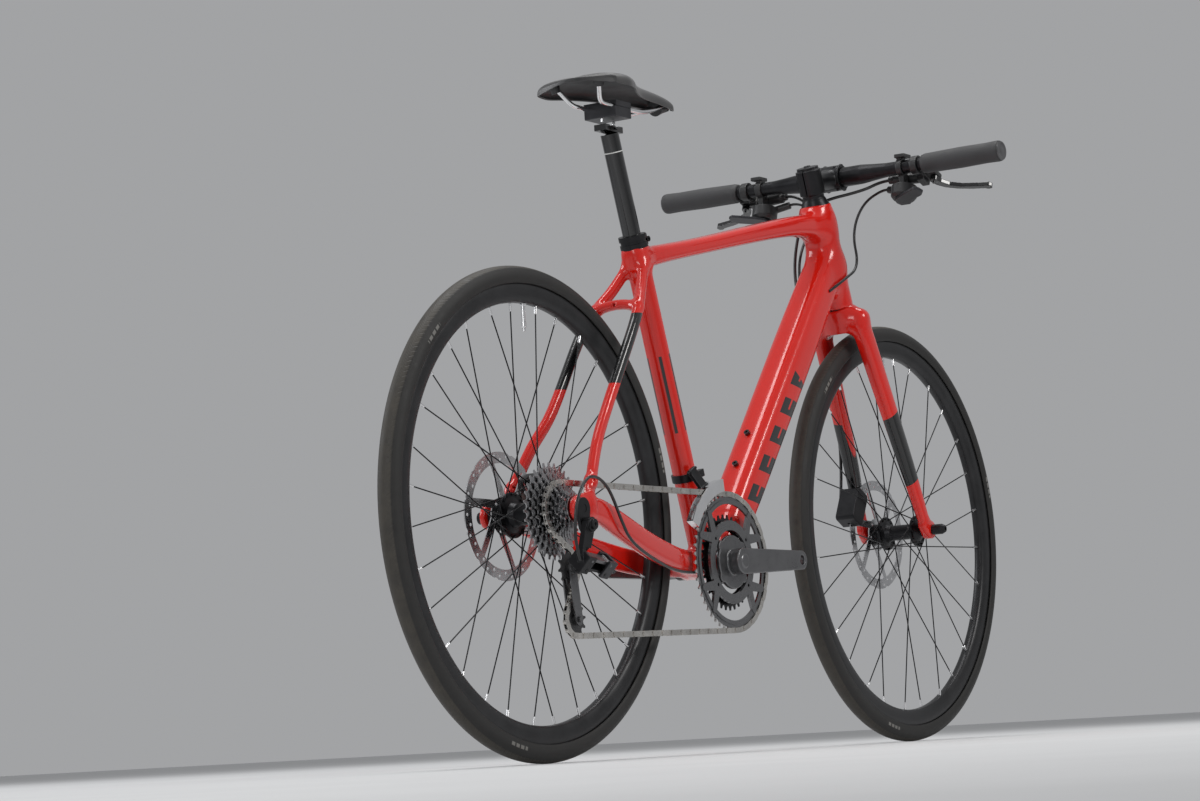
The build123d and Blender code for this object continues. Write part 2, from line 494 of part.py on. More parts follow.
# rear hub: left flange and rotor seat, right flange, axle tube with a stub for the freehub
def hub_profile(cx, y_l, y_r, rl, rr, shell_r, ends, rotor_y):
    pts = [(6.0 + RUN, ends[0]), (9.5, ends[0]), (9.5, y_r - 9), (13, y_r - 6), (rr - 3.5, y_r - 1.6), (rr + 3.5, y_r - 1.6), (rr + 3.5, y_r + 1.6), (rr - 3.5, y_r + 1.6), (shell_r + 3, y_r + 4),
           (shell_r, y_r + 12), (shell_r, y_l - 12), (shell_r + 3, y_l - 4), (rl - 3.5, y_l - 1.6), (rl + 3.5, y_l - 1.6), (rl + 3.5, y_l + 1.6), (rl - 3.5, y_l + 1.6), (20, y_l + 3), (19, y_l + 6), (16.9, rotor_y - 3.2),
           (16.9, rotor_y + 1.2), (15.5, rotor_y + 2.0), (12, ends[1] - 5), (9.5, ends[1] - 3), (9.5, ends[1]), (6.0 + RUN, ends[1])]
    return revolve_y(pts, cx, 343.0)


def spoke_holes(h, cx, n, cross, yf, rf, side, valve_a, total):
    n2 = n
    for i in range(n2):
        lead = 1 if i % 2 == 0 else -1
        rim_i = 2 * i + (0 if side == 1 else 1)
        ra = math.radians(valve_a) + (rim_i + 0.5) * 2 * math.pi / total
        ha_ = ra - lead * cross * (2 * math.pi / n2) * 0.985
        h -= ycyl(cx + rf * math.cos(ha_), 343 + rf * math.sin(ha_), yf - 5, yf + 5, 1.15)
    return h


REAR_VALVE = 90.0
rh = hub_profile(0, 35.0, -20.0, 28.5, 26.5, 15.5, (-70.9, 70.9), REAR_ROTOR_Y)
rh -= revolve_y([(9.9, -72), (30, -72), (30, -27.0), (9.9, -27.0)], 0, 343)
rh = spoke_holes(rh, 0, 16, 3, 35.0, 28.5, 1, REAR_VALVE, 32)
rh = spoke_holes(rh, 0, 16, 3, -20.0, 26.5, -1, REAR_VALVE, 32)
rear_hub = widest(rh)
fh = hub_profile(WHEELBASE, 21.0, -36.0, 24.0, 22.0, 12.5, (-49.9, 49.9), FRONT_ROTOR_Y)
fh = spoke_holes(fh, WHEELBASE, 14, 2, 21.0, 24.0, 1, 93.0, 28)
fh = spoke_holes(fh, WHEELBASE, 14, 2, -36.0, 22.0, -1, 93.0, 28)
front_hub = widest(fh)

rear_rim, rear_valve, rear_tyre, rear_sp, rear_nip = wheel(0.0, rear_hub, 32, 3, 35.0, -20.0, 28.5, 26.5, REAR_VALVE)
front_rim, front_valve, front_tyre, front_sp, front_nip = wheel(WHEELBASE, front_hub, 28, 2, 21.0, -36.0, 24.0, 22.0, 93.0)


def rotor(cx, y):
    a = ycyl(cx, 343, y - ROTOR_T / 2, y + ROTOR_T / 2, ROTOR_R)
    a -= ycyl(cx, 343, y - 3, y + 3, 74.0)
    hubr = ycyl(cx, 343, y - ROTOR_T / 2, y + ROTOR_T / 2, 27.0) - ycyl(cx, 343, y - 3, y + 3, 17.0)
    arms = None
    for k in range(6):
        b = k * 60 + 12
        p = (cx + 22 * math.cos(math.radians(b)), 343 + 22 * math.sin(math.radians(b)))
        q = (cx + 77 * math.cos(math.radians(b + 34)), 343 + 77 * math.sin(math.radians(b + 34)))
        arm = stadium(p, q, 6.0, 5.0, y - ROTOR_T / 2, y + ROTOR_T / 2)
        arms = arm if arms is None else arms + arm
    a = a + hubr + (arms - ycyl(cx, 343, y - 3, y + 3, 19.5))
    cuts = []
    for k in range(36):
        b = math.radians(k * 10)
        r = 79.0 if k % 2 else 84.5
        cuts.append(ycyl(cx + r * math.cos(b), 343 + r * math.sin(b), y - 3, y + 3, 2.3))
    for k in range(12):
        b = math.radians(k * 30 + 15)
        cuts.append(ycyl(cx + 96.5 * math.cos(b), 343 + 96.5 * math.sin(b), y - 3, y + 3, 8.2))
    for k in range(6):
        b = math.radians(k * 60 + 12)
        cuts.append(ycyl(cx + 22.0 * math.cos(b), 343 + 22.0 * math.sin(b), y - 3, y + 3, 2.6))
    a = a.cut(*[c.solid() for c in cuts])
    lock = ring_y(cx, 343, y + ROTOR_T / 2 + 0.05, y + ROTOR_T / 2 + 3.0, 21.0, 17.2)
    return widest(a), lock


rear_rotor, rear_lock = rotor(0.0, REAR_ROTOR_Y)
front_rotor, front_lock = rotor(WHEELBASE, FRONT_ROTOR_Y)


# ------------------------------------------------------------- chain geometry
def pitch_r(t):
    return PITCH / (2 * math.sin(math.pi / t))


CHAIN_COG_T = COGS[CHAIN_COG]
CAGE_PIVOT = (24.0, 268.0)
GUIDE0, TENSION0 = (11.0, 266.0), (17.0, 194.0)
R_RING, R_COG, R_PUL = pitch_r(RING_T), pitch_r(CHAIN_COG_T), pitch_r(PULLEY_T)


def tangent(c1, r1, s1, c2, r2, s2):
    dx, dz = c2[0] - c1[0], c2[1] - c1[1]
    D = math.hypot(dx, dz)
    th = math.atan2(dz, dx) - math.asin((s2 * r2 - s1 * r1) / D)
    n = (-math.sin(th), math.cos(th))
    return (c1[0] - s1 * r1 * n[0], c1[1] - s1 * r1 * n[1]), (c2[0] - s2 * r2 * n[0], c2[1] - s2 * r2 * n[1])


def chain_path(rot):
    g, t = rot2(GUIDE0, CAGE_PIVOT, rot), rot2(TENSION0, CAGE_PIVOT, rot)
    W = [(BB, R_RING, -1), (t, R_PUL, -1), (g, R_PUL, 1), ((0.0, 343.0), R_COG, -1)]
    segs = []
    tan = [tangent(*W[i], *W[(i + 1) % 4]) for i in range(4)]
    for i in range(4):
        segs.append(("line", tan[i][0], tan[i][1]))
        nxt = (i + 1) % 4
        c, r, s = W[nxt]
        a0 = math.atan2(tan[i][1][1] - c[1], tan[i][1][0] - c[0])
        a1 = math.atan2(tan[nxt][0][1] - c[1], tan[nxt][0][0] - c[0])
        da = (a1 - a0) % (2 * math.pi) if s > 0 else -((a0 - a1) % (2 * math.pi))
        segs.append(("arc", c, r, a0, da))
    lens = [math.dist(s[1], s[2]) if s[0] == "line" else abs(s[2] * s[4]) for s in segs]
    return W, segs, lens, g, t


def at(segs, lens, u):
    tot = sum(lens)
    u = u % tot
    for s, L in zip(segs, lens):
        if u <= L:
            if s[0] == "line":
                f = u / L
                return (s[1][0] + (s[2][0] - s[1][0]) * f, s[1][1] + (s[2][1] - s[1][1]) * f)
            a = s[3] + s[4] * (u / L)
            return (s[1][0] + s[2] * math.cos(a), s[1][1] + s[2] * math.sin(a))
        u -= L
    return at(segs, lens, 0.0)


def walk(rot, n):
    W, segs, lens, g, t = chain_path(rot)
    u, pts = 0.0, [at(segs, lens, 0.0)]
    for _ in range(n):
        p = pts[-1]
        lo, hi = u + PITCH * 0.98, u + PITCH * 1.25
        for _ in range(34):
            m = (lo + hi) / 2
            if math.dist(p, at(segs, lens, m)) < PITCH:
                lo = m
            else:
                hi = m
        u = (lo + hi) / 2
        pts.append(at(segs, lens, u))
    return u - sum(lens), pts, g, t


u0, _, _, _ = walk(0.0, 110)
n_links = 110 - 2 * round(u0 / (2 * PITCH))
lo, hi = -30.0, 30.0
flo = walk(lo, n_links)[0]
for _ in range(26):
    mid = (lo + hi) / 2
    fm = walk(mid, n_links)[0]
    if (fm > 0) == (flo > 0):
        lo, flo = mid, fm
    else:
        hi = mid
CAGE_ROT = (lo + hi) / 2
_, PINS, GUIDE, TENSION = walk(CAGE_ROT, n_links)
PINS = PINS[:n_links]


def phase_of(c, r):
    best = min(PINS, key=lambda p: abs(math.dist(p, c) - r) + 0.001 * abs(math.atan2(p[1] - c[1], p[0] - c[0])))
    return math.atan2(best[1] - c[1], best[0] - c[0])


print("links", n_links, "cage", round(CAGE_ROT, 2), "guide", GUIDE, "tension", TENSION, "walk error", round(walk(CAGE_ROT, n_links)[0], 4))


def plate(p, q, y0, y1, r=4.2, hole=None):
    s = stadium(p, q, r, r - 0.001, y0, y1)
    if hole:
        s = s - ycyl(*p, y0 - 1, y1 + 1, hole) - ycyl(*q, y0 - 1, y1 + 1, hole)
    return s


links = []
for i in range(n_links):
    p, q = PINS[i], PINS[(i + 1) % n_links]
    if i % 2 == 0:
        s = plate(p, q, CHAIN_Y + 1.25, CHAIN_Y + 2.05, 4.2) + plate(p, q, CHAIN_Y - 2.05, CHAIN_Y - 1.25, 4.2)
        for k in (p, q):
            s += ycyl(*k, CHAIN_Y - 1.3, CHAIN_Y + 1.3, 3.83)
            s -= ycyl(*k, CHAIN_Y - 3, CHAIN_Y + 3, 1.88)
    else:
        s = plate(p, q, CHAIN_Y + 2.15, CHAIN_Y + 2.95, 4.0) + plate(p, q, CHAIN_Y - 2.95, CHAIN_Y - 2.15, 4.0)
        for k in (p, q):
            s += ycyl(*k, CHAIN_Y - 3.1, CHAIN_Y + 3.1, 1.8)
    links.append(widest(s))

# ------------------------------------------------------------ crankset, rings
ca = math.radians(CRANK_ANGLE)
PEDAL_R = (BB[0] + CRANK_L * math.cos(ca), BB[1] + CRANK_L * math.sin(ca))
PEDAL_L = (BB[0] - CRANK_L * math.cos(ca), BB[1] - CRANK_L * math.sin(ca))
ring = tooth_ring(*BB, CHAIN_Y - 1.0, CHAIN_Y + 1.0, RING_T, phase_of(BB, R_RING), 0, 2.6, 86.5)
web = ring_y(*BB, CHAIN_Y - 3.0, CHAIN_Y + 1.0, 62.0, 47.5)
SP = [38, 142, 218, 322]
for k in SP:
    b = math.radians(k)
    p = (BB[0] + 56 * math.cos(b), BB[1] + 56 * math.sin(b))
    for dd in (-13, 13):
        b2 = math.radians(k + dd)
        q = (BB[0] + 90 * math.cos(b2), BB[1] + 90 * math.sin(b2))
        web += stadium(p, q, 8.0, 5.5, CHAIN_Y - 3.0, CHAIN_Y + 1.0)
web -= ycyl(*BB, CHAIN_Y - 9, CHAIN_Y + 9, 47.5)
ring_o = ring + web
ring_o += ring_y(*BB, CHAIN_Y - 2.2, CHAIN_Y + 1.0, 92.5, 86.5)
ring_i = tooth_ring(*BB, -39.4, -37.6, RING_IN_T, math.radians(3), 0, 2.6, 47.5)
spider = ring_y(*BB, -51.0, -44.95, 40.0, 12.0)
rbolts = []
for k in SP:
    b = math.radians(k)
    p = (BB[0] + 30 * math.cos(b), BB[1] + 30 * math.sin(b))
    q = (BB[0] + 55 * math.cos(b), BB[1] + 55 * math.sin(b))
    spider += stadium(p, q, 11, 9.0, -44.9, -39.6)
    spider += stadium(p, (BB[0] + 37 * math.cos(b), BB[1] + 37 * math.sin(b)), 9, 8.0, -51.0, -44.9)
    for kk in (5.05,):
        spider -= ycyl(*q, -60, -30, kk)
        ring_o -= ycyl(*q, -60, -30, kk)
        ring_i -= ycyl(*q, -60, -30, kk)
    rbolts.append(ycyl(*q, -48.9, -36.5, 4.95) - ycyl(*q, -50, -46, 2.6))
arm_r = stadium(BB, PEDAL_R, 19.5, 14.5, -57.5, -71.0)
arm_r = arm_r + ycyl(*BB, -44.95, -71.0, 18.5) + (spider - ycyl(*BB, -44.9, -30, 22.5)) + ycyl(*BB, -71, 69.0, 12.0)
arm_r -= ycyl(*PEDAL_R, -90, -40, 7.14)
arm_r -= ycyl(*BB, -75, 80, 9.5)
arm_r += ycyl(*BB, -72.4, -69.0, 9.7)
arm_r = widest(arm_r)
ring_o, ring_i = widest(ring_o - arm_r), widest(ring_i)
arm_l = stadium(BB, PEDAL_L, 18.5, 14.0, 57.5, 70.0) + ycyl(*BB, 46.0, 70.0, 18.5)
arm_l -= ycyl(*BB, 40, 69.05, 12.02)
arm_l -= ycyl(*BB, 60, 80, 8.0)
arm_l = widest(arm_l - ycyl(*PEDAL_L, 40, 90, 7.14))
arm_cap = ycyl(*BB, 66.0, 72.0, 7.9)

# ------------------------------------------------------------------ cassette
cogs = []
y_small = CHAIN_Y - COG_STEP * CHAIN_COG
FREE_R = 17.0
for i, t in enumerate(COGS):
    y = y_small + i * COG_STEP
    ph = phase_of((0.0, 343.0), R_COG) if i == CHAIN_COG else math.radians(7 * i)
    c = tooth_ring(0.0, 343.0, y - 0.8, y + 0.8, t, ph, 0, 2.6, FREE_R + 0.02 if t > 12 else 16.5)
    if t >= 19:
        rp = pitch_r(t)
        cut = []
        n = 6
        for k in range(n):
            b = math.radians(k * 360 / n + 10 * i)
            rm = (rp - 8 + 24) / 2
            if rp - 8 - 24 > 6:
                cut.append(ycyl(rm * math.cos(b), 343 + rm * math.sin(b), y - 3, y + 3, min(9.0, (rp - 8 - 24) / 2)))
        for q in cut:
            c = c - q
    cogs.append(widest(c))
freehub = ring_y(0, 343, y_small + COG_STEP * 1.5, -27.4, FREE_R, 9.9 + RUN) + ring_y(0, 343, y_small - 2.0, y_small + COG_STEP * 1.5, 16.4, 9.9 + RUN)
freehub = widest(freehub)
lockring = ring_y(0, 343, y_small - 3.2, y_small - 2.05, 19.0, 10.5)
spacers = [ring_y(0, 343, y_small + i * COG_STEP + 0.85, y_small + (i + 1) * COG_STEP - 0.85, 20.0, FREE_R + 0.02 if i > 1 else 17.3) for i in range(1, 9)]

# --------------------------------------------------------- rear derailleur
LK = 45.0
Ld = Vector(0.99, 0, -0.12).normalized()
dd_ = Vector(-0.09, 0.670, -0.737)
dd_ = (dd_ - Ld * dd_.dot(Ld)).normalized()
Aa = Ld.cross(dd_).normalized()
P_PIV = Vector(34.0, -86.0, 266.0)
B_PIV = P_PIV - Ld * LK
fr_b = Plane(origin=tup(B_PIV), x_dir=tup(Ld), z_dir=tup(Aa))
fr_p = Plane(origin=tup(P_PIV), x_dir=tup(Ld), z_dir=tup(Aa))


def lk(frame, x, y, z, sx, sy, sz_):
    return frame * Pos(x, y, z) * Box(sx, sy, sz_)


OFF = 7.5
outer_link = (lk(fr_b, LK / 2, -OFF, 0, LK, 5, 17) + fr_b * Pos(0, -OFF, 0) * Cylinder(4.2, 17) + fr_b * Pos(LK, -OFF, 0) * Cylinder(4.2, 17)
              + fr_b * Pos(0, -OFF, 0) * Cylinder(2.2, 27) + fr_b * Pos(LK, -OFF, 0) * Cylinder(2.2, 27))
inner_link = (lk(fr_b, LK / 2, OFF, 0, LK, 4, 17) + fr_b * Pos(0, OFF, 0) * Cylinder(4.2, 17) + fr_b * Pos(LK, OFF, 0) * Cylinder(4.2, 17)
              + fr_b * Pos(0, OFF, 0) * Cylinder(2.2, 27) + fr_b * Pos(LK, OFF, 0) * Cylinder(2.2, 27))


def ears(fr, sgn):
    e = lk(fr, 0, 0, 11.0, 13, 27, 4.4) + lk(fr, 0, 0, -11.0, 13, 27, 4.4) + lk(fr, sgn * 9.5, 0, 0, 6, 27, 26.4)
    for o in (-OFF, OFF):
        e -= fr * Pos(0, o, 0) * Cylinder(2.27, 40)
    return e


HB = (1.0, 320.0)
b_kn = ears(fr_b, -1) + stadium(HB, (B_PIV.X - 6, B_PIV.Z + 2), 10.5, 9.0, -84.4, -93.0)
b_kn += ycyl(*HB, -84.4, -96.0, 10.5)
b_kn -= ycyl(*HB, -100, -60, 5.0 + RUN)
b_kn -= lk(fr_b, LK / 2 - 0, 0, 0, LK + 12, 34, 17.6)
for o in (-OFF, OFF):
    b_kn -= fr_b * Pos(0, o, 0) * Cylinder(2.27, 60)
b_bolt = ycyl(*HB, -98.5, -79.2, 5.0) + ycyl(*HB, -100.5, -96.2, 7.5) - ycyl(*HB, -102, -98, 2.6)
p_kn = ears(fr_p, 1) + ycyl(*CAGE_PIVOT, -57.3, -80.0, 11.0)
p_kn -= lk(fr_p, -LK / 2, 0, 0, LK + 12, 34, 17.6)
p_kn += cyl((P_PIV.X + 11, -84, P_PIV.Z - 2), (66, -84, 257), 3.2)
p_kn -= ycyl(*CAGE_PIVOT, -69, -50, 4.0 + RUN)
for o in (-OFF, OFF):
    p_kn -= fr_p * Pos(0, o, 0) * Cylinder(2.27, 60)
# room in the knuckle's back wall for the inner link at the low-gear end
for turn in (-38.5, -36.0, -33.0, -30.0, -27.0):
    p_kn -= fr_p * Pos(0, OFF, 0) * Rot(0, 0, turn) * Pos(-LK / 2, 0, 0) * Box(LK, 4.5, 17.6)
p_kn -= fr_p * Pos(0, OFF, 0) * Cylinder(4.5, 17.6)
b_kn, p_kn = widest(b_kn), widest(p_kn)
cage = stadium(CAGE_PIVOT, GUIDE, 12.5, 9.0, -55.6, -53.4) + stadium(GUIDE, TENSION, 8.0, 8.5, -53.6, -51.6) + stadium(GUIDE, TENSION, 8.0, 8.5, -40.6, -38.6)
cage += stadium(CAGE_PIVOT, GUIDE, 12.5, 9.0, -53.6, -51.6)
cage += ycyl(*CAGE_PIVOT, -68.0, -53.5, 4.0)
for c in (GUIDE, TENSION):
    cage += ycyl(*c, -55.6, -38.0, 2.5) + ycyl(*c, -57.0, -55.5, 4.2)
cage = widest(cage)


def pulley(c):
    p = tooth_ring(c[0], c[1], CHAIN_Y - 1.05, CHAIN_Y + 1.05, PULLEY_T, phase_of(c, R_PUL), 0, 2.4, 2.5 + RUN)
    p += ring_y(*c, CHAIN_Y - 4.4, CHAIN_Y + 4.4, 7.5, 2.5 + RUN)
    return widest(p)


pulley_u, pulley_l = pulley(GUIDE), pulley(TENSION)

# -------------------------------------------------------- front derailleur
FDS = 136.0
fdc = st(FDS)
fd_band = cyl(tup(st(FDS - 6)), tup(st(FDS + 6)), SEAT_TUBE_R + 2.6) - cyl(tup(st(FDS - 8)), tup(st(FDS + 8)), SEAT_TUBE_R + 0.02)
RD_ = Vector(math.cos(math.radians(116)), 0, math.sin(math.radians(116)))   # radial direction through the cage middle
TD_ = Vector(RD_.Z, 0, -RD_.X)
F1 = BBV + RD_ * 150 + Vector(0, -27.5, 0)
F2 = BBV + RD_ * 122 + Vector(0, -39.0, 0)
f1 = Plane(origin=tup(F1), x_dir=(0, 1, 0), z_dir=tup(TD_))
fd_link = cyl(tup(F1 - TD_ * 9), tup(F1 + TD_ * 9), 4.0) + cyl(tup(F2 - TD_ * 9), tup(F2 + TD_ * 9), 4.0)
mid = (F1 + F2) * 0.5
ldir = (F2 - F1).normalized()
fd_link += obox(tup(mid), (18, 5.5, (F2 - F1).length), tup(TD_), tup(ldir))
fd_link += cyl(tup(F1 - TD_ * 13.5), tup(F1 + TD_ * 13.5), 2.2) + cyl(tup(F2 - TD_ * 13.5), tup(F2 + TD_ * 13.5), 2.2)
ear = [obox(tup(F1 + TD_ * (k * 11.2)), (3.6, 13, 13), tup(TD_), (0, 1, 0)) for k in (-1, 1)]
fd_clamp = fd_band + ear[0] + ear[1] + obox(tup(BBV + RD_ * 155 + Vector(0, -20, 0)), (26, 8, 12), tup(TD_), tup(RD_))
fd_clamp += obox(tup(st(FDS) + Vector(8, -17, 2)), (26, 10, 11), tup(ST_N), tup(ST_D))
fd_clamp -= cyl(tup(st(FDS - 60)), tup(st(FDS + 60)), SEAT_TUBE_R + 0.02)
fd_clamp -= cyl(tup(F1 - TD_ * 20), tup(F1 + TD_ * 20), 2.2 + RUN)
fd_clamp -= cyl(tup(F1 - TD_ * 9.3), tup(F1 + TD_ * 9.3), 5.4)
fd_clamp = widest(fd_clamp)


def arc_plate(r0, r1, a0, a1, y0, y1):
    n = 10
    pts = [(BB[0] + r1 * math.cos(math.radians(a0 + (a1 - a0) * i / n)), BB[1] + r1 * math.sin(math.radians(a0 + (a1 - a0) * i / n))) for i in range(n + 1)]
    pts += [(BB[0] + r0 * math.cos(math.radians(a0 + (a1 - a0) * i / n)), BB[1] + r0 * math.sin(math.radians(a0 + (a1 - a0) * i / n))) for i in range(n, -1, -1)]
    return prism(pts, y0, y1)


fd_cage = arc_plate(105.5, 124, 98, 152, -51.6, -50.4) + arc_plate(98, 124, 98, 152, -42.0, -40.8)
fd_cage += arc_plate(122.8, 124, 98, 118, -51.6, -40.8) + arc_plate(106, 124, 151, 152.2, -51.6, -40.8)
fd_cage += obox(tup(F2 + TD_ * 11.2 + Vector(0, 0.6, 0)), (3.6, 8, 7.4), tup(TD_), (0, 1, 0)) + obox(tup(F2 - TD_ * 11.2 + Vector(0, 0.6, 0)), (3.6, 8, 7.4), tup(TD_), (0, 1, 0))
fd_cage += obox(tup(BBV + RD_ * 116.5 + Vector(0, -40.2, 0)), (26, 2.4, 7), tup(TD_), tup(RD_))
fd_cage -= cyl(tup(F2 - TD_ * 20), tup(F2 + TD_ * 20), 2.2 + RUN)
fd_cage -= cyl(tup(F2 - TD_ * 9.3), tup(F2 + TD_ * 9.3), 5.3)
fd_cage = widest(fd_cage)

# ------------------------------------------------------------------- brakes
def caliper(cx, cy, ang, r_mid, cl):
    """Two-piston caliper straddling the rotor rim; ang is its place round the rotor."""
    b = math.radians(ang)
    rd = Vector(math.cos(b), 0, math.sin(b))
    td = Vector(-math.sin(b), 0, math.cos(b))
    c = Vector(cx, cy, 343) + rd * r_mid
    fl = Plane(origin=tup(c), x_dir=tup(rd), z_dir=(0, 1, 0))
    body = fl * Box(34, cl, 33.5)
    body = fillet(body.edges().filter_by(Axis.Y), 6)
    body -= fl * Pos(-6, 0, 0) * Box(40, 32, 11.4)
    body -= fl * Pos(-18, 0, 0) * Box(36, 80, 3.6)
    body -= Plane(origin=(cx, cy, 343), x_dir=(1, 0, 0), z_dir=(0, 1, 0)) * Cylinder(ROTOR_R + 1.5, 3.6)
    pads = []
    for k in (-1, 1):
        pads.append(fl * Pos(-8.5, 0, k * 3.35) * Box(18, 26, 3.6))
        body -= fl * Pos(-8, 0, k * 9) * Cylinder(11.05, 9)
    pist = []
    for k in (-1, 1):
        pads[(k + 1) // 2] = pads[(k + 1) // 2] + fl * Pos(-8, 0, k * 8.0) * Cylinder(10.9, 6.5)
    return widest(body), [widest(q) for q in pads], rd, td, c


rear_cal, rear_pads, _, _, rear_cc = caliper(0, REAR_ROTOR_Y, 23.5, 91.0, 50)
front_cal, front_pads, _, _, front_cc = caliper(WHEELBASE, FRONT_ROTOR_Y, 152, 91.0, 58)

# --------------------------------------------------------------- seat group
POST_TOP = 668.0
post = cyl(tup(st(400)), tup(st(POST_TOP - 12)), SEATPOST_R)
post -= cyl(tup(st(399)), tup(st(POST_TOP - 30)), 11.8)
HEAD_C = st(POST_TOP) + Vector(2, 0, 4)
post += ycyl(HEAD_C.X, HEAD_C.Z, -16, 16, 11.5) + obox(tup(HEAD_C + Vector(0, 0, -9)), (46, 20, 9), (1, 0, 0), (0, 0, 1))
post -= bx((HEAD_C.X, 0, HEAD_C.Z + 22), (80, 80, 44))
TILT = (HEAD_C.X, HEAD_C.Z + 14.0)
cradle_cut = ycyl(TILT[0], TILT[1], -40, 40, 22.3)
post = widest(post - cradle_cut)
RAIL_Z = 943.0
RAIL_Y = 22.0
cradle = ycyl(TILT[0], TILT[1], -27, 27, 22.0) & bx((TILT[0], 0, RAIL_Z - 9), (42, 60, 15))
clampt = bx((TILT[0], 0, RAIL_Z + 2.6), (40, 56, 8))
for s in (1, -1):
    rail_hole = cyl((100, s * RAIL_Y, RAIL_Z - 1.3), (400, s * RAIL_Y, RAIL_Z - 1.3), 3.55)
    cradle -= rail_hole
    clampt -= rail_hole
clampt -= bx((TILT[0], 0, RAIL_Z - 5), (60, 70, 7.2))
cradle, clampt = widest(cradle), widest(clampt)
rails = []
for s in (1, -1):
    r = hose([(158, s * 33, RAIL_Z + 30), (178, s * 31, RAIL_Z + 26), (196, s * RAIL_Y, RAIL_Z - 1.3), (300, s * RAIL_Y, RAIL_Z - 1.3), (372, s * 9, RAIL_Z + 17), (392, s * 8, RAIL_Z + 20)], 3.5, 9)
    rails.append(r)
# saddle: shell and cover, a closed form with a hollow underside
SAD = [(150, 60, 977, 9), (165, 69, 979, 15), (195, 71, 983, 19), (225, 62, 984, 18), (260, 44, 983, 17), (300, 29, 982, 16.5), (345, 21.5, 981, 15.5), (390, 17.5, 977, 13.5), (412, 13.5, 971, 9.5), (418, 6, 967, 4)]


def saddle_solid(dz, k, skip=0):
    f = []
    for x, hw, zt, th in SAD[skip:]:
        hw2, th2 = hw * k, th * (1 if k == 1 else 0.86)
        w = Polyline([(x, -hw2, zt - th2 * 1.25 + dz), (x, -hw2 * 0.96, zt - th2 * 0.35 + dz), (x, -hw2 * 0.6, zt + dz), (x, hw2 * 0.6, zt + dz), (x, hw2 * 0.96, zt - th2 * 0.35 + dz), (x, hw2, zt - th2 * 1.25 + dz)], close=True)
        f.append(make_face(w))
    return loft(f, ruled=True)


saddle = saddle_solid(0, 1)
saddle = saddle - Pos(0, 0, -9.0) * saddle_solid(0, 0.86)
saddle = widest(saddle)
for r in rails:
    saddle = saddle - r
saddle = widest(saddle)

# -------------------------------------------------------- hoses and cables
hoses = []
front_hose_r = hose([(930.3, -95.7, 904.3), (930.3, -80, 904.3), (924, -50, 893), (890, 16, 880), (862, 34, 846), (852, 44, 790), (835, 36, 740), (822, 24, 716)], 2.5, 14)
front_hose_l = hose([(930.3, 95.7, 904.3), (930.3, 80, 904.3), (934, 50, 880), (915, 42, 830), (925, 47, 740), (932, 50, 690), (944, 57, 640), (976, 60, 560), (1003, 64, 500), (1004, 66, 440), (990, 62, 405)], 2.5, 12)
shift_r = hose([(934.1, -91.6, 890.1), (937.4, -79, 892.8), (948, -34, 876), (945, -14, 830), (925, -34, 770), (872, -34, 744), (830, -28, 722)], 2.2, 14)
shift_l = hose([(934.1, 91.6, 890.1), (937.4, 79, 892.8), (938, 44, 872), (900, 40, 838), (862, 40, 792), (845, 34, 752), (832, 26, 728)], 2.2, 12)
rd_house = hose([(352, -40, 264), (300, -46, 262), (215, -61, 276), (128, -75, 300), (96, -81, 330), (66, -84, 372), (30, -88, 388), (-6, -93, 384), (-34, -94, 350), (-40, -93, 306), (-32, -92, 278), (-24.5, -91, 270)], 2.2, 10)
rd_house = widest(rd_house - b_kn)
rear_cal = widest(rear_cal - seatstay["left"] - chainstay["left"])
hoses = [front_hose_r, front_hose_l, shift_r, shift_l, rd_house]

for k in hoses[:4]:
    down_tube = down_tube - k
    head_tube = head_tube - k
down_tube, head_tube = widest(down_tube), widest(head_tube)

# ------------------------------------------------------------------- export
out("head_tube", head_tube)
out("top_tube", top_tube)
out("down_tube", down_tube)
out("seat_tube", seat_tube)
out("chainstay_left", chainstay["left"])
out("chainstay_right", chainstay["right"])
out("seatstays", seatstay["left"], seatstay["right"], bridge)
out("derailleur_hanger", hanger)
out("seat_clamp", collar, collar_bolt)
out("bottle_bolts", *bolts)
out("bottom_bracket_cups", *cup)
out("headset_bearings", *headset)
out("rear_thru_axle", rear_axle)
out("rear_caliper", rear_cal)
out("rear_pad_outer", rear_pads[1])
out("rear_pad_inner", rear_pads[0])
out("cables_and_hoses", *hoses)
out("fork_crown", crown)
out("fork_leg_left", fork_leg["left"])
out("fork_leg_right", fork_leg["right"])
out("stem", stem, faceplate, *fp_bolts, cap_cone, top_cap)
out("handlebar", bar)
out("grips", *grips, *plugs)
out("brake_lever_bodies", *lever_bodies)
out("brake_lever_left", levers["left"])
out("brake_lever_right", levers["right"])
out("shifter_bodies", *shifters)
out("shift_paddle_left", paddles["left"])
out("shift_paddle_right", paddles["right"])
out("front_caliper", front_cal)
out("front_pad_outer", front_pads[1])
out("front_pad_inner", front_pads[0])
out("front_thru_axle", front_axle)
out("front_tyre", front_tyre)
out("front_rim", front_rim, front_valve)
out("front_spokes", *front_sp, *front_nip)
out("front_hub", front_hub)
out("front_rotor", front_rotor, front_lock)
out("rear_tyre", rear_tyre)
out("rear_rim", rear_rim, rear_valve)
out("rear_spokes", *rear_sp, *rear_nip)
out("rear_hub", rear_hub)
out("rear_rotor", rear_rotor, rear_lock)
out("cassette", *cogs, *spacers, freehub, lockring)
out("chainrings", ring_o, ring_i, *rbolts)
out("crank_arm_right", arm_r)
out("crank_arm_left", arm_l, arm_cap)
out("chain", *links)
out("derailleur_b_knuckle", b_kn, b_bolt)
out("derailleur_outer_link", outer_link)
out("derailleur_inner_link", inner_link)
out("derailleur_p_knuckle", p_kn)
out("derailleur_cage", cage)
out("guide_pulley", pulley_u)
out("tension_pulley", pulley_l)
out("front_derailleur_clamp", fd_clamp)
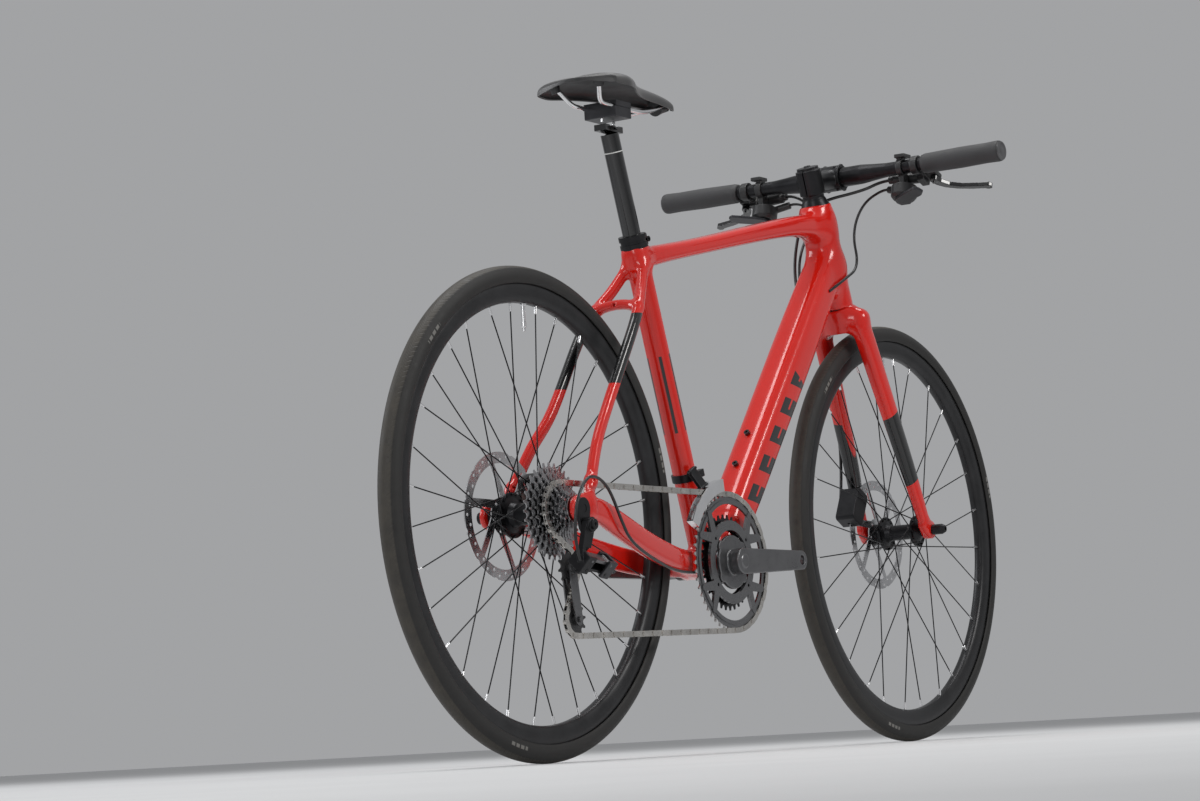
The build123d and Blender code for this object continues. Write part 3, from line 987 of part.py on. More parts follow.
out("front_derailleur_link", fd_link)
out("front_derailleur_cage", fd_cage)
out("seatpost", post)
out("saddle", saddle, cradle, clampt, *rails)
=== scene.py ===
import bpy
import bmesh
import math
import numpy as np
from mathutils import Matrix, Vector, Quaternion
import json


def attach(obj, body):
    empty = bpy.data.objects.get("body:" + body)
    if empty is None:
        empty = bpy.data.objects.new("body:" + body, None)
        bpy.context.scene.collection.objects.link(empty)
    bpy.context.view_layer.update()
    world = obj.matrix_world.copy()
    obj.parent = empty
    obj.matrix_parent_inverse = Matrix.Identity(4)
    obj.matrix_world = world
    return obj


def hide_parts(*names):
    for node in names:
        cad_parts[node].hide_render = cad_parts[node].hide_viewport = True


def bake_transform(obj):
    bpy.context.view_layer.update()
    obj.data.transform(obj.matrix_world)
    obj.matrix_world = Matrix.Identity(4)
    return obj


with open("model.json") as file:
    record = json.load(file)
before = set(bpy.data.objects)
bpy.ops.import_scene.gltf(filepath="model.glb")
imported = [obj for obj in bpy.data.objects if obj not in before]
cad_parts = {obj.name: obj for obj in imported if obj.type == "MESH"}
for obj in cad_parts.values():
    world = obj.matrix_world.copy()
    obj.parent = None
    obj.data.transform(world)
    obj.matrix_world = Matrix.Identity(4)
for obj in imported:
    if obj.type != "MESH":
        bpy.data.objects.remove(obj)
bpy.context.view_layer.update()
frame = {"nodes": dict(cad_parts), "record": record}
X0 = 532.25                       # mm from the rear axle to the origin
BBX, BBZ = 444.0, 280.0
SA = math.radians(72.5)
STD = np.array([-math.cos(SA), 0.0, math.sin(SA)])
HTA = np.array([1064.5 - 45 * math.sin(SA), 0.0, 343 - 45 * math.cos(SA)])
BBP = np.array([BBX, 0.0, BBZ])


def st(s):
    return BBP + STD * s


def ht(s):
    return HTA + STD * s


# ------------------------------------------------------------------- camera
cam = bpy.data.objects.new("camera", bpy.data.cameras.new("camera"))
bpy.context.scene.collection.objects.link(cam)
yaw, pitch, roll = math.radians(32.9817), math.radians(6.0982), math.radians(-3.0722)
F = Vector((math.cos(pitch) * math.cos(yaw), math.cos(pitch) * math.sin(yaw), math.sin(pitch)))
R = F.cross(Vector((0, 0, 1))).normalized()
U = R.cross(F)
Rr = R * math.cos(roll) + U * math.sin(roll)
Uu = -R * math.sin(roll) + U * math.cos(roll)
M = Matrix((Rr, Uu, -F)).transposed().to_4x4()
M.translation = Vector((-4.16336, -2.47539, 0.02442))
cam.matrix_world = M
cam.data.lens = 96.02
cam.data.sensor_width = 36.0
cam.data.clip_end = 60
bpy.context.scene.camera = cam


# ------------------------------------------------------------ shader helpers
class Mat:
    """A small builder for node materials; every call returns an output socket."""

    def __init__(self, name):
        self.m = bpy.data.materials.new(name)
        self.m.use_nodes = True
        self.t = self.m.node_tree
        self.b = self.t.nodes["Principled BSDF"]
        self.obj = None

    def n(self, kind, **kw):
        x = self.t.nodes.new(kind)
        for k, v in kw.items():
            setattr(x, k, v)
        return x

    def put(self, sock, v):
        if isinstance(v, bpy.types.NodeSocket):
            self.t.links.new(v, sock)
        elif v is not None:
            sock.default_value = v

    def pos(self):
        if self.obj is None:
            self.obj = self.n("ShaderNodeTexCoord").outputs["Object"]
        return self.obj

    def xyz(self):
        s = self.n("ShaderNodeSeparateXYZ")
        self.put(s.inputs[0], self.pos())
        return s.outputs[0], s.outputs[1], s.outputs[2]

    def math(self, op, a, b=None, c=None):
        x = self.n("ShaderNodeMath", operation=op)
        self.put(x.inputs[0], a)
        if b is not None:
            self.put(x.inputs[1], b)
        if c is not None:
            self.put(x.inputs[2], c)
        return x.outputs[0]

    def mul(self, a, b):
        return self.math("MULTIPLY", a, b)

    def add(self, a, b):
        return self.math("ADD", a, b)

    def lin(self, v, a, b, c0, c1):
        """v mapped from a..b to c0..c1, clamped"""
        x = self.n("ShaderNodeMapRange")
        x.clamp = True
        self.put(x.inputs["Value"], v)
        x.inputs["From Min"].default_value = a
        x.inputs["From Max"].default_value = b
        x.inputs["To Min"].default_value = c0
        x.inputs["To Max"].default_value = c1
        return x.outputs["Result"]

    def dot(self, v, k):
        """position . v + k"""
        x = self.n("ShaderNodeVectorMath", operation="DOT_PRODUCT")
        self.put(x.inputs[0], self.pos())
        x.inputs[1].default_value = v
        return self.math("ADD", x.outputs["Value"], k)

    def scaled(self, s):
        x = self.n("ShaderNodeMapping")
        self.put(x.inputs["Vector"], self.pos())
        x.inputs["Scale"].default_value = s
        return x.outputs[0]

    def noise(self, scale, detail=2.0, rough=0.5, vec=None):
        x = self.n("ShaderNodeTexNoise")
        self.put(x.inputs["Vector"], self.pos() if vec is None else vec)
        x.inputs["Scale"].default_value = scale
        x.inputs["Detail"].default_value = detail
        x.inputs["Roughness"].default_value = rough
        return x.outputs["Fac"]

    def voronoi(self, scale, feature="F1", vec=None):
        x = self.n("ShaderNodeTexVoronoi", feature=feature)
        self.put(x.inputs["Vector"], self.pos() if vec is None else vec)
        x.inputs["Scale"].default_value = scale
        return x.outputs["Distance"]

    def mix(self, f, a, b):
        x = self.n("ShaderNodeMix", data_type="RGBA")
        self.put(x.inputs["Factor"], f)
        A, B = [i for i in x.inputs if i.name == "A" and i.type == "RGBA"][0], [i for i in x.inputs if i.name == "B" and i.type == "RGBA"][0]
        self.put(A, a if isinstance(a, bpy.types.NodeSocket) else (*a, 1.0))
        self.put(B, b if isinstance(b, bpy.types.NodeSocket) else (*b, 1.0))
        return [o for o in x.outputs if o.type == "RGBA"][0]

    def fmix(self, f, a, b):
        return self.lin(f, 0.0, 1.0, a, b)

    def bump(self, h, strength, dist, normal=None):
        x = self.n("ShaderNodeBump")
        self.put(x.inputs["Height"], h)
        x.inputs["Strength"].default_value = strength
        x.inputs["Distance"].default_value = dist
        if normal is not None:
            self.put(x.inputs["Normal"], normal)
        return x.outputs[0]

    def set(self, **kw):
        names = {"color": "Base Color", "metal": "Metallic", "rough": "Roughness", "coat": "Coat Weight", "coat_rough": "Coat Roughness", "normal": "Normal",
                 "aniso": "Anisotropic", "sheen": "Sheen Weight", "ior": "IOR", "spec": "Specular IOR Level", "coat_normal": "Coat Normal"}
        for k, v in kw.items():
            if k == "color" and not isinstance(v, bpy.types.NodeSocket):
                v = (*v, 1.0)
            self.put(self.b.inputs[names[k]], v)
        return self.m


def box_mask(m, v, a, b, soft=0.0003):
    """1 where a < v < b"""
    return m.mul(m.lin(v, a - soft, a + soft, 0, 1), m.lin(v, b - soft, b + soft, 1, 0))


def seg_axes(p, q):
    """unit vector from p to q in the row frame and its dot offset, so that dot gives metres from p"""
    p, q = (np.array(p) - [X0, 0, 0]) / 1000, (np.array(q) - [X0, 0, 0]) / 1000
    d = (q - p) / np.linalg.norm(q - p)
    return tuple(d), float(-d @ p), float(np.linalg.norm(q - p))


RED = (0.66, 0.010, 0.004)
RED_D = (0.55, 0.007, 0.003)
BLACK = (0.008, 0.008, 0.0085)
GREY = (0.055, 0.055, 0.06)


def paint_base(name, panel, grey=None):
    """gloss orange-red lacquer with black panels; panel and grey are functions giving masks"""
    m = Mat(name)
    fleck = m.noise(900.0, 2.0, 0.6)
    tone = m.noise(5.0, 2.0, 0.5)
    red = m.mix(m.lin(fleck, 0.35, 0.7, 0.0, 1.0), RED, RED_D)
    red = m.mix(m.lin(tone, 0.3, 0.7, 0.0, 0.35), red, (0.72, 0.018, 0.006))
    mask = panel(m)
    col = m.mix(mask, red, BLACK)
    if grey is not None:
        col = m.mix(grey(m), col, GREY)
    peel = m.noise(260.0, 2.0, 0.5)
    dust = m.noise(38.0, 5.0, 0.65)
    rough = m.lin(dust, 0.35, 0.8, 0.20, 0.30)
    m.set(color=col, metal=0.0, rough=rough, coat=0.7, coat_rough=0.045, normal=m.bump(peel, 0.06, 0.0004), ior=1.36)
    return m.m


def frame_panels(m):
    x, y, z = m.xyz()
    # down tube: slanted generic blocks low on the right side
    d, k, L = seg_axes((545, 0, 373), (760, 0, 635.5))
    a = m.dot(d, k)
    n = (-d[2], 0.0, d[0])
    b = m.dot(n, -(n[0] * ((545 - X0) / 1000) + n[2] * 0.373))
    slant = m.add(a, m.mul(b, 0.55))
    wave = m.math("FRACT", m.mul(slant, 1 / 0.060))
    blocks = m.mul(box_mask(m, wave, 0.06, 0.60, 0.008), box_mask(m, b, -0.0235, 0.0125))
    sep = m.math("SUBTRACT", 1.0, m.mul(box_mask(m, b, -0.0075, -0.0035), box_mask(m, wave, 0.25, 0.60, 0.01)))
    dt = m.mul(m.mul(blocks, sep), box_mask(m, a, -0.030, 0.265))
    dt = m.mul(dt, m.lin(m.math("ABSOLUTE", y), 0.0180, 0.0184, 0, 1))
    dt = m.mul(dt, m.lin(x, (462 - X0) / 1000, (464 - X0) / 1000, 0, 1))
    # seat tube: wide panel over the front, thin stripe at the rear
    s, ks, _ = seg_axes(st(0), st(500))
    h = m.dot(s, ks)
    nf = (math.sin(SA), 0.0, math.cos(SA))
    f = m.dot(nf, -(nf[0] * ((BBX - X0) / 1000) + nf[2] * 0.280))
    near = m.mul(box_mask(m, f, -0.0215, 0.0215), box_mask(m, m.math("ABSOLUTE", y), -1.0, 0.0205))
    wide = m.mul(box_mask(m, h, 0.205, 0.322), m.lin(f, 0.0010, 0.0014, 0, 1))
    thin = m.mul(box_mask(m, h, 0.205, 0.322), box_mask(m, f, -0.0150, -0.0120))
    seat = m.mul(near, m.math("MAXIMUM", wide, thin))
    # seatstays: gloss black stretch
    sx = m.lin(x, (243 - X0) / 1000, (245 - X0) / 1000, 1, 0)
    stay = m.mul(m.mul(sx, box_mask(m, z, 0.528, 0.635)), m.lin(x, (90 - X0) / 1000, (92 - X0) / 1000, 0, 1))
    return m.math("MAXIMUM", m.math("MAXIMUM", dt, seat), stay)


def frame_grey(m):
    x, y, z = m.xyz()
    d, k, L = seg_axes((545, 0, 373), (760, 0, 635.5))
    a = m.dot(d, k)
    n = (-d[2], 0.0, d[0])
    b = m.dot(n, -(n[0] * ((545 - X0) / 1000) + n[2] * 0.373))
    g = m.mul(box_mask(m, a, -0.055, 0.285), box_mask(m, b, -0.0300, -0.0262))
    g = m.mul(g, m.lin(m.math("ABSOLUTE", y), 0.0110, 0.0114, 0, 1))
    return m.mul(g, m.lin(x, (470 - X0) / 1000, (472 - X0) / 1000, 0, 1))


def fork_panels(m):
    x, y, z = m.xyz()
    slant = m.add(z, m.mul(m.math("ABSOLUTE", y), -0.25))
    slant = m.add(slant, m.mul(x, -0.55))
    p = box_mask(m, slant, 0.424 - 0.25 * 0.054 - 0.55 * 0.494 - 0.002, 0.532 - 0.25 * 0.047 - 0.55 * 0.450)
    return m.mul(p, m.lin(m.math("ABSOLUTE", y), 0.0380, 0.0384, 0, 1))


# --------------------------------------------------- plainer node materials
def alloy(name, col, rough=0.32, metal=1.0, grain=240.0, aniso=0.0, coat=0.0, wear=0.5, bump=0.10):
    m = Mat(name)
    g = m.noise(grain, 4.0, 0.6)
    s = m.noise(28.0, 5.0, 0.65)
    dark = tuple(c * (1 - 0.28 * wear) for c in col)
    lite = tuple(min(1.0, c * (1 + 0.22 * wear) + 0.01 * wear) for c in col)
    c = m.mix(m.lin(s, 0.3, 0.72, 0, 1), dark, lite)
    m.set(color=c, metal=metal, rough=m.lin(m.add(m.mul(g, 0.5), m.mul(s, 0.5)), 0.3, 0.7, rough * 0.8, rough * 1.25), normal=m.bump(g, bump, 0.0003), aniso=aniso, coat=coat, coat_rough=0.12)
    return m.m


def brushed(name, col, rough, cx, cz):
    """circular brushing about the y line through cx, cz, in metres"""
    m = Mat(name)
    x, y, z = m.xyz()
    dx, dz = m.add(x, -cx), m.add(z, -cz)
    r = m.math("SQRT", m.add(m.mul(dx, dx), m.mul(dz, dz)))
    comb = m.n("ShaderNodeCombineXYZ")
    m.put(comb.inputs[0], m.mul(r, 2600.0))
    m.put(comb.inputs[1], m.mul(m.math("ARCTAN2", dz, dx), 3.0))
    g = m.noise(1.0, 4.0, 0.7, comb.outputs[0])
    s = m.noise(30.0, 4.0, 0.6)
    c = m.mix(m.lin(s, 0.3, 0.7, 0, 1), tuple(k * 0.82 for k in col), col)
    m.set(color=c, metal=1.0, rough=m.lin(g, 0.2, 0.8, rough * 0.75, rough * 1.35), normal=m.bump(g, 0.12, 0.0002))
    return m.m


def plastic(name, col, rough=0.42, grain=700.0, bump=0.14, spec=0.5):
    m = Mat(name)
    g = m.voronoi(grain)
    s = m.noise(34.0, 4.0, 0.6)
    c = m.mix(m.lin(s, 0.3, 0.7, 0, 1), tuple(k * 0.8 for k in col), tuple(k * 1.2 for k in col))
    m.set(color=c, metal=0.0, rough=m.lin(s, 0.3, 0.7, rough * 0.85, rough * 1.2), normal=m.bump(g, bump, 0.0003), spec=spec)
    return m.m


def assign(o, mat):
    o.data.materials.clear()
    o.data.materials.append(mat)
    if o.type == "MESH":
        idx = np.zeros(len(o.data.polygons), dtype=np.int32)
        o.data.polygons.foreach_set("material_index", idx)
    return o


def cad_mat(node, mat):
    o = frame["nodes"][node]
    if not o.material_slots:
        o.data.materials.append(mat)
    for s in o.material_slots:
        s.material = mat


def smooth(o, angle=40):
    o.data.polygons.foreach_set("use_smooth", np.ones(len(o.data.polygons), dtype=bool))
    if angle is not None and angle < 180:
        bm = bmesh.new()
        bm.from_mesh(o.data)
        lim = math.radians(angle)
        for e in bm.edges:
            if len(e.link_faces) == 2 and e.calc_face_angle(0) > lim:
                e.smooth = False
        bm.to_mesh(o.data)
        bm.free()
    o.data.update()
    return o


def piece(name, verts, faces, mat, body, scale=0.001, shift=True, reps=(), angle=40):
    v = np.array(verts, dtype=float)
    if shift:
        v = v - [X0, 0, 0]
    me = bpy.data.meshes.new(name)
    me.from_pydata((v * scale).tolist(), [], [tuple(int(i) for i in f) for f in faces])
    me.validate()
    o = bpy.data.objects.new(name, me)
    bpy.context.scene.collection.objects.link(o)
    me.materials.append(mat)
    smooth(o, angle)
    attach(o, body)
    if reps:
        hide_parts(*reps)
    return o


# ------------------------------------------------------- blended solid tubes
def catmull(ctrl, n):
    P = np.array(ctrl, dtype=float)
    P = np.vstack([2 * P[0] - P[1], P, 2 * P[-1] - P[-2]])
    o = []
    for i in range(1, len(P) - 2):
        p0, p1, p2, p3 = P[i - 1], P[i], P[i + 1], P[i + 2]
        for k in range(n):
            t = k / n
            o.append(0.5 * ((2 * p1) + (-p0 + p2) * t + (2 * p0 - 5 * p1 + 4 * p2 - p3) * t * t + (-p0 + 3 * p1 - 3 * p2 + p3) * t ** 3))
    o.append(P[-2])
    return np.array(o)


class Field:
    """A distance field on a grid, made of tubes joined with soft fillets; mm, rear-axle frame."""

    def __init__(self):
        self.parts = []       # (kind, data, k)

    def tube(self, ctrl, k=12.0, n=2.3, across=(0, 1, 0), per=5, neg=False):
        """ctrl: x y z a b; a is half the size in the tube's plane, b along across"""
        S = catmull(ctrl, per)
        self.parts.append(("tube", S, k, n, np.array(across, dtype=float), neg))

    def cyl(self, p, q, r0, r1=None, k=8.0, neg=False, rnd=1.0):
        self.parts.append(("cyl", (np.array(p, dtype=float), np.array(q, dtype=float), r0, r0 if r1 is None else r1, rnd), k, None, None, neg))

    def half(self, p, nrm):
        """keeps only the side that nrm points away from"""
        nrm = np.array(nrm, dtype=float)
        self.parts.append(("half", (np.array(p, dtype=float), nrm / np.linalg.norm(nrm)), 0.0, None, None, True))

    def ball(self, c, r, k=8.0, neg=False):
        self.parts.append(("ball", (np.array(c, dtype=float), r), k, None, None, neg))

    def box_of(self, part, pad):
        kind, d = part[0], part[1]
        if kind == "tube":
            r = max(d[:, 3].max(), d[:, 4].max()) + pad
            return d[:, :3].min(0) - r, d[:, :3].max(0) + r
        if kind == "cyl":
            p, q, r0, r1, _ = d
            r = max(r0, r1) + pad
            return np.minimum(p, q) - r, np.maximum(p, q) + r
        if kind == "ball":
            return d[0] - d[1] - pad, d[0] + d[1] + pad
        return None

    def dist(self, part, P):
        kind, d = part[0], part[1]
        if kind == "half":
            return (P - d[0]) @ d[1]
        if kind == "ball":
            return np.linalg.norm(P - d[0], axis=1) - d[1]
        if kind == "cyl":
            p, q, r0, r1, rnd = d
            ax = q - p
            L = np.linalg.norm(ax)
            ax = ax / L
            w = P - p
            t = w @ ax
            r = np.linalg.norm(w - t[:, None] * ax, axis=1)
            rr = r0 + (r1 - r0) * np.clip(t / L, 0, 1)
            a, b = r - rr + rnd, np.abs(t - L / 2) - L / 2 + rnd
            return np.minimum(np.maximum(a, b), 0) + np.hypot(np.maximum(a, 0), np.maximum(b, 0)) - rnd
        out = np.full(len(P), 1e3)
        n, across = part[3], part[4]
        S = d
        for i in range(len(S) - 1):
            A, B = S[i, :3], S[i + 1, :3]
            ab = B - A
            L2 = ab @ ab
            if L2 < 1e-9:
                continue
            rad = max(S[i, 3], S[i, 4], S[i + 1, 3], S[i + 1, 4]) + 26
            lo, hi = np.minimum(A, B) - rad, np.maximum(A, B) + rad
            m = np.all((P > lo) & (P < hi), axis=1)
            if not m.any():
                continue
            Q = P[m]
            t = np.clip((Q - A) @ ab / L2, 0, 1)
            w = Q - (A + t[:, None] * ab)
            ax = ab / math.sqrt(L2)
            e2 = across - ax * (across @ ax)
            e2 = e2 / np.linalg.norm(e2)
            e1 = np.cross(e2, ax)
            a = S[i, 3] + (S[i + 1, 3] - S[i, 3]) * t
            b = S[i, 4] + (S[i + 1, 4] - S[i, 4]) * t
            u, v, s = np.abs(w @ e1) / a, np.abs(w @ e2) / b, np.abs(w @ ax) / np.minimum(a, b)
            k = (u ** n + v ** n + s ** n) ** (1.0 / n) + 1e-9
            r = np.linalg.norm(w, axis=1)
            bound = np.where(r > 0.3, r / k, np.minimum(a, b))
            out[m] = np.minimum(out[m], r - bound)
        return out

    def dist_at(self, P):
        out = np.full(len(P), 60.0)
        for part in self.parts:
            k, neg = part[2], part[5]
            bb = self.box_of(part, 30.0)
            if bb is None:
                m = np.ones(len(P), dtype=bool)
            else:
                m = np.all((P > bb[0]) & (P < bb[1]), axis=1)
            if not m.any():
                continue
            d = self.dist(part, P[m])
            c = out[m]
            if neg:
                if part[0] == "half":
                    out[m] = np.maximum(c, d)
                else:
                    kk = max(k, 0.01)
                    h = np.clip(0.5 - 0.5 * (c + d) / kk, 0, 1)
                    out[m] = c * (1 - h) + (-d) * h + kk * h * (1 - h)
            else:
                kk = max(k, 0.01)
                h = np.clip(0.5 + 0.5 * (c - d) / kk, 0, 1)
                out[m] = c * (1 - h) + d * h - kk * h * (1 - h)
        return out

    def mesh(self, step, lo=None, hi=None, iters=3):
        """surface nets on a narrow band, then each vertex walks onto the surface"""
        if lo is None:
            bs = [self.box_of(p, 3.0) for p in self.parts if not p[5]]
            lo = np.min([b[0] for b in bs], axis=0)
            hi = np.max([b[1] for b in bs], axis=0)
        # coarse pass marks blocks near the surface
        B = 8
        cs = step * B
        nb = np.ceil((hi - lo) / cs).astype(int) + 1
        g = np.stack(np.meshgrid(*[np.arange(n) for n in nb], indexing="ij"), -1).reshape(-1, 3)
        c = lo + (g + 0.5) * cs
        near = np.abs(self.dist_at(c)) < cs * 0.87 * 1.9 + 4
        N = nb * B + 1
        val = np.full(tuple(N), 50.0, dtype=np.float32)
        o = np.stack(np.meshgrid(*[np.arange(B + 1)] * 3, indexing="ij"), -1).reshape(-1, 3)
        blocks = g[near]
        for i in range(0, len(blocks), 400):
            idx = (blocks[i:i + 400, None, :] * B + o[None]).reshape(-1, 3)
            v = self.dist_at(lo + idx * step)
            val[idx[:, 0], idx[:, 1], idx[:, 2]] = v
        far = g[~near]
        if len(far):
            sgn = self.dist_at(lo + (far + 0.5) * cs)
            ins = far[sgn < 0]
            inner = np.stack(np.meshgrid(*[np.arange(1, B)] * 3, indexing="ij"), -1).reshape(-1, 3)
            for i in range(0, len(ins), 400):
                idx = (ins[i:i + 400, None, :] * B + inner[None]).reshape(-1, 3)
                val[idx[:, 0], idx[:, 1], idx[:, 2]] = -50.0
            # shared faces of deep blocks
            full = np.stack(np.meshgrid(*[np.arange(B + 1)] * 3, indexing="ij"), -1).reshape(-1, 3)
            for i in range(0, len(ins), 400):
                idx = (ins[i:i + 400, None, :] * B + full[None]).reshape(-1, 3)
                w = val[idx[:, 0], idx[:, 1], idx[:, 2]]
                k = w >= 49.9
                val[idx[k, 0], idx[k, 1], idx[k, 2]] = -50.0
        sol = val < 0
        cell = np.zeros(tuple(N - 1), dtype=np.int8)
        for dx in (0, 1):
            for dy in (0, 1):
                for dz in (0, 1):
                    cell += sol[dx:N[0] - 1 + dx, dy:N[1] - 1 + dy, dz:N[2] - 1 + dz].astype(np.int8)
        act = (cell > 0) & (cell < 8)
        ids = np.full(act.shape, -1, dtype=np.int64)
        cells = np.argwhere(act)
        ids[act] = np.arange(len(cells))
        V = lo + (cells + 0.5) * step
        faces = []
        for axis in range(3):
            sl0 = [slice(None)] * 3
            sl1 = [slice(None)] * 3
            sl0[axis] = slice(0, N[axis] - 1)
            sl1[axis] = slice(1, N[axis])
            a, b = sol[tuple(sl0)], sol[tuple(sl1)]
            cr = np.argwhere(a != b)
            o1, o2 = [(1, 2), (2, 0), (0, 1)][axis]
            ok = (cr[:, o1] > 0) & (cr[:, o2] > 0) & (cr[:, o1] < N[o1] - 1) & (cr[:, o2] < N[o2] - 1)
            cr = cr[ok]
            up = a[cr[:, 0], cr[:, 1], cr[:, 2]]
            q = []
            for s1, s2 in ((-1, -1), (0, -1), (0, 0), (-1, 0)):
                cc = cr.copy()
                cc[:, o1] += s1
                cc[:, o2] += s2
                q.append(ids[cc[:, 0], cc[:, 1], cc[:, 2]])
            q = np.stack(q, 1)
            q[~up] = q[~up][:, ::-1]
            faces.append(q)
        Fq = np.vstack(faces)
        Fq = Fq[(Fq >= 0).all(1)]
        e = step * 0.4
        for it in range(iters):
            d = self.dist_at(V)
            gr = np.stack([self.dist_at(V + e * np.eye(3)[i]) - self.dist_at(V - e * np.eye(3)[i]) for i in range(3)], 1) / (2 * e)
            gl = np.maximum((gr ** 2).sum(1), 0.15)
            mv = -(d / gl)[:, None] * gr
            L = np.linalg.norm(mv, axis=1)
            mv *= np.minimum(1.0, step * 0.9 / np.maximum(L, 1e-9))[:, None]
            V = V + mv
            if it < iters - 1:
                # even out the spacing with a light relaxation along the surface
                acc = np.zeros_like(V)
                cnt = np.zeros(len(V))
                for i in range(4):
                    a_, b_ = Fq[:, i], Fq[:, (i + 1) % 4]
                    np.add.at(acc, a_, V[b_])
                    np.add.at(acc, b_, V[a_])
                    np.add.at(cnt, a_, 1)
                    np.add.at(cnt, b_, 1)
                V = V + 0.5 * (acc / np.maximum(cnt, 1)[:, None] - V)
        return V, Fq


BODY = {n: b for b, ns in frame["record"]["behaviour"]["bodies"].items() for n in ns}

# ---------------------------------------------------------------- materials
RWX, RWZ = -X0 / 1000, 0.343
FWX = (1064.5 - X0) / 1000
BX_, BZ_ = (BBX - X0) / 1000, 0.280
black_ano = alloy("black_anodised", (0.018, 0.018, 0.020), 0.34, 0.75, 420.0, wear=0.6)
black_gloss = alloy("black_gloss", (0.010, 0.010, 0.011), 0.16, 0.3, 300.0, coat=0.8, wear=0.4, bump=0.04)
satin_grey = alloy("satin_grey", (0.15, 0.15, 0.155), 0.30, 0.85, 520.0, wear=0.5)
dark_grey = alloy("dark_grey", (0.055, 0.055, 0.06), 0.33, 0.8, 420.0, wear=0.5)
bright = alloy("bright_metal", (0.80, 0.80, 0.81), 0.14, 1.0, 300.0, wear=0.25, bump=0.05)
steel = alloy("steel", (0.52, 0.52, 0.53), 0.26, 1.0, 500.0, wear=0.5)
chain_mat = alloy("chain_plate", (0.58, 0.56, 0.53), 0.24, 1.0, 700.0, wear=0.9)
rubber_hose = plastic("hose_rubber", (0.012, 0.012, 0.013), 0.32, 1500.0, 0.05)
grip_mat = plastic("grip_rubber", (0.040, 0.040, 0.042), 0.62, 1300.0, 0.5)
plas = plastic("black_plastic", (0.020, 0.020, 0.021), 0.40, 1400.0, 0.10)
pad_mat = alloy("pad_iron", (0.14, 0.13, 0.12), 0.6, 0.5, 900.0, wear=1.0)
rotor_r = brushed("rotor_rear", (0.62, 0.62, 0.63), 0.24, RWX, RWZ)
rotor_f = brushed("rotor_front", (0.62, 0.62, 0.63), 0.24, FWX, RWZ)
cass_mat = brushed("sprockets", (0.42, 0.42, 0.43), 0.28, RWX, RWZ)
ring_mat = brushed("chainring", (0.20, 0.20, 0.21), 0.30, BX_, BZ_)


def rings_material():
    """Grey satin web, bright worn teeth, dark inner ring."""
    m = Mat("chainrings")
    x, y, z = m.xyz()
    dx, dz = m.add(x, -BX_), m.add(z, -BZ_)
    r = m.math("SQRT", m.add(m.mul(dx, dx), m.mul(dz, dz)))
    comb = m.n("ShaderNodeCombineXYZ")
    m.put(comb.inputs[0], m.mul(r, 2200.0))
    m.put(comb.inputs[1], m.mul(m.math("ARCTAN2", dz, dx), 4.0))
    g = m.noise(1.0, 4.0, 0.7, comb.outputs[0])
    inner = m.lin(y, -0.0408, -0.0406, 0, 1)
    c = m.mix(inner, m.mix(m.lin(g, 0.3, 0.7, 0, 1), (0.15, 0.15, 0.155), (0.21, 0.21, 0.215)), (0.03, 0.03, 0.032))
    edge = m.lin(m.add(r, m.mul(m.noise(300.0), 0.0015)), 0.0988, 0.0998, 0, 1)
    c = m.mix(edge, c, (0.55, 0.54, 0.53))
    m.set(color=c, metal=0.92, rough=m.lin(g, 0.2, 0.8, 0.22, 0.36), normal=m.bump(g, 0.10, 0.0002))
    return m.m


def spoke_material(name, cx):
    m = Mat(name)
    x, y, z = m.xyz()
    dx, dz = m.add(x, -cx), m.add(z, -RWZ)
    r = m.math("SQRT", m.add(m.mul(dx, dx), m.mul(dz, dz)))
    nip = m.lin(r, 0.2795, 0.2800, 0, 1)
    g = m.noise(900.0, 3.0, 0.6)
    c = m.mix(nip, m.mix(g, (0.012, 0.012, 0.013), (0.03, 0.03, 0.032)), m.mix(g, (0.62, 0.62, 0.63), (0.78, 0.78, 0.79)))
    m.set(color=c, metal=0.9, rough=m.lin(g, 0.3, 0.7, 0.20, 0.34), normal=m.bump(g, 0.06, 0.0002))
    return m.m


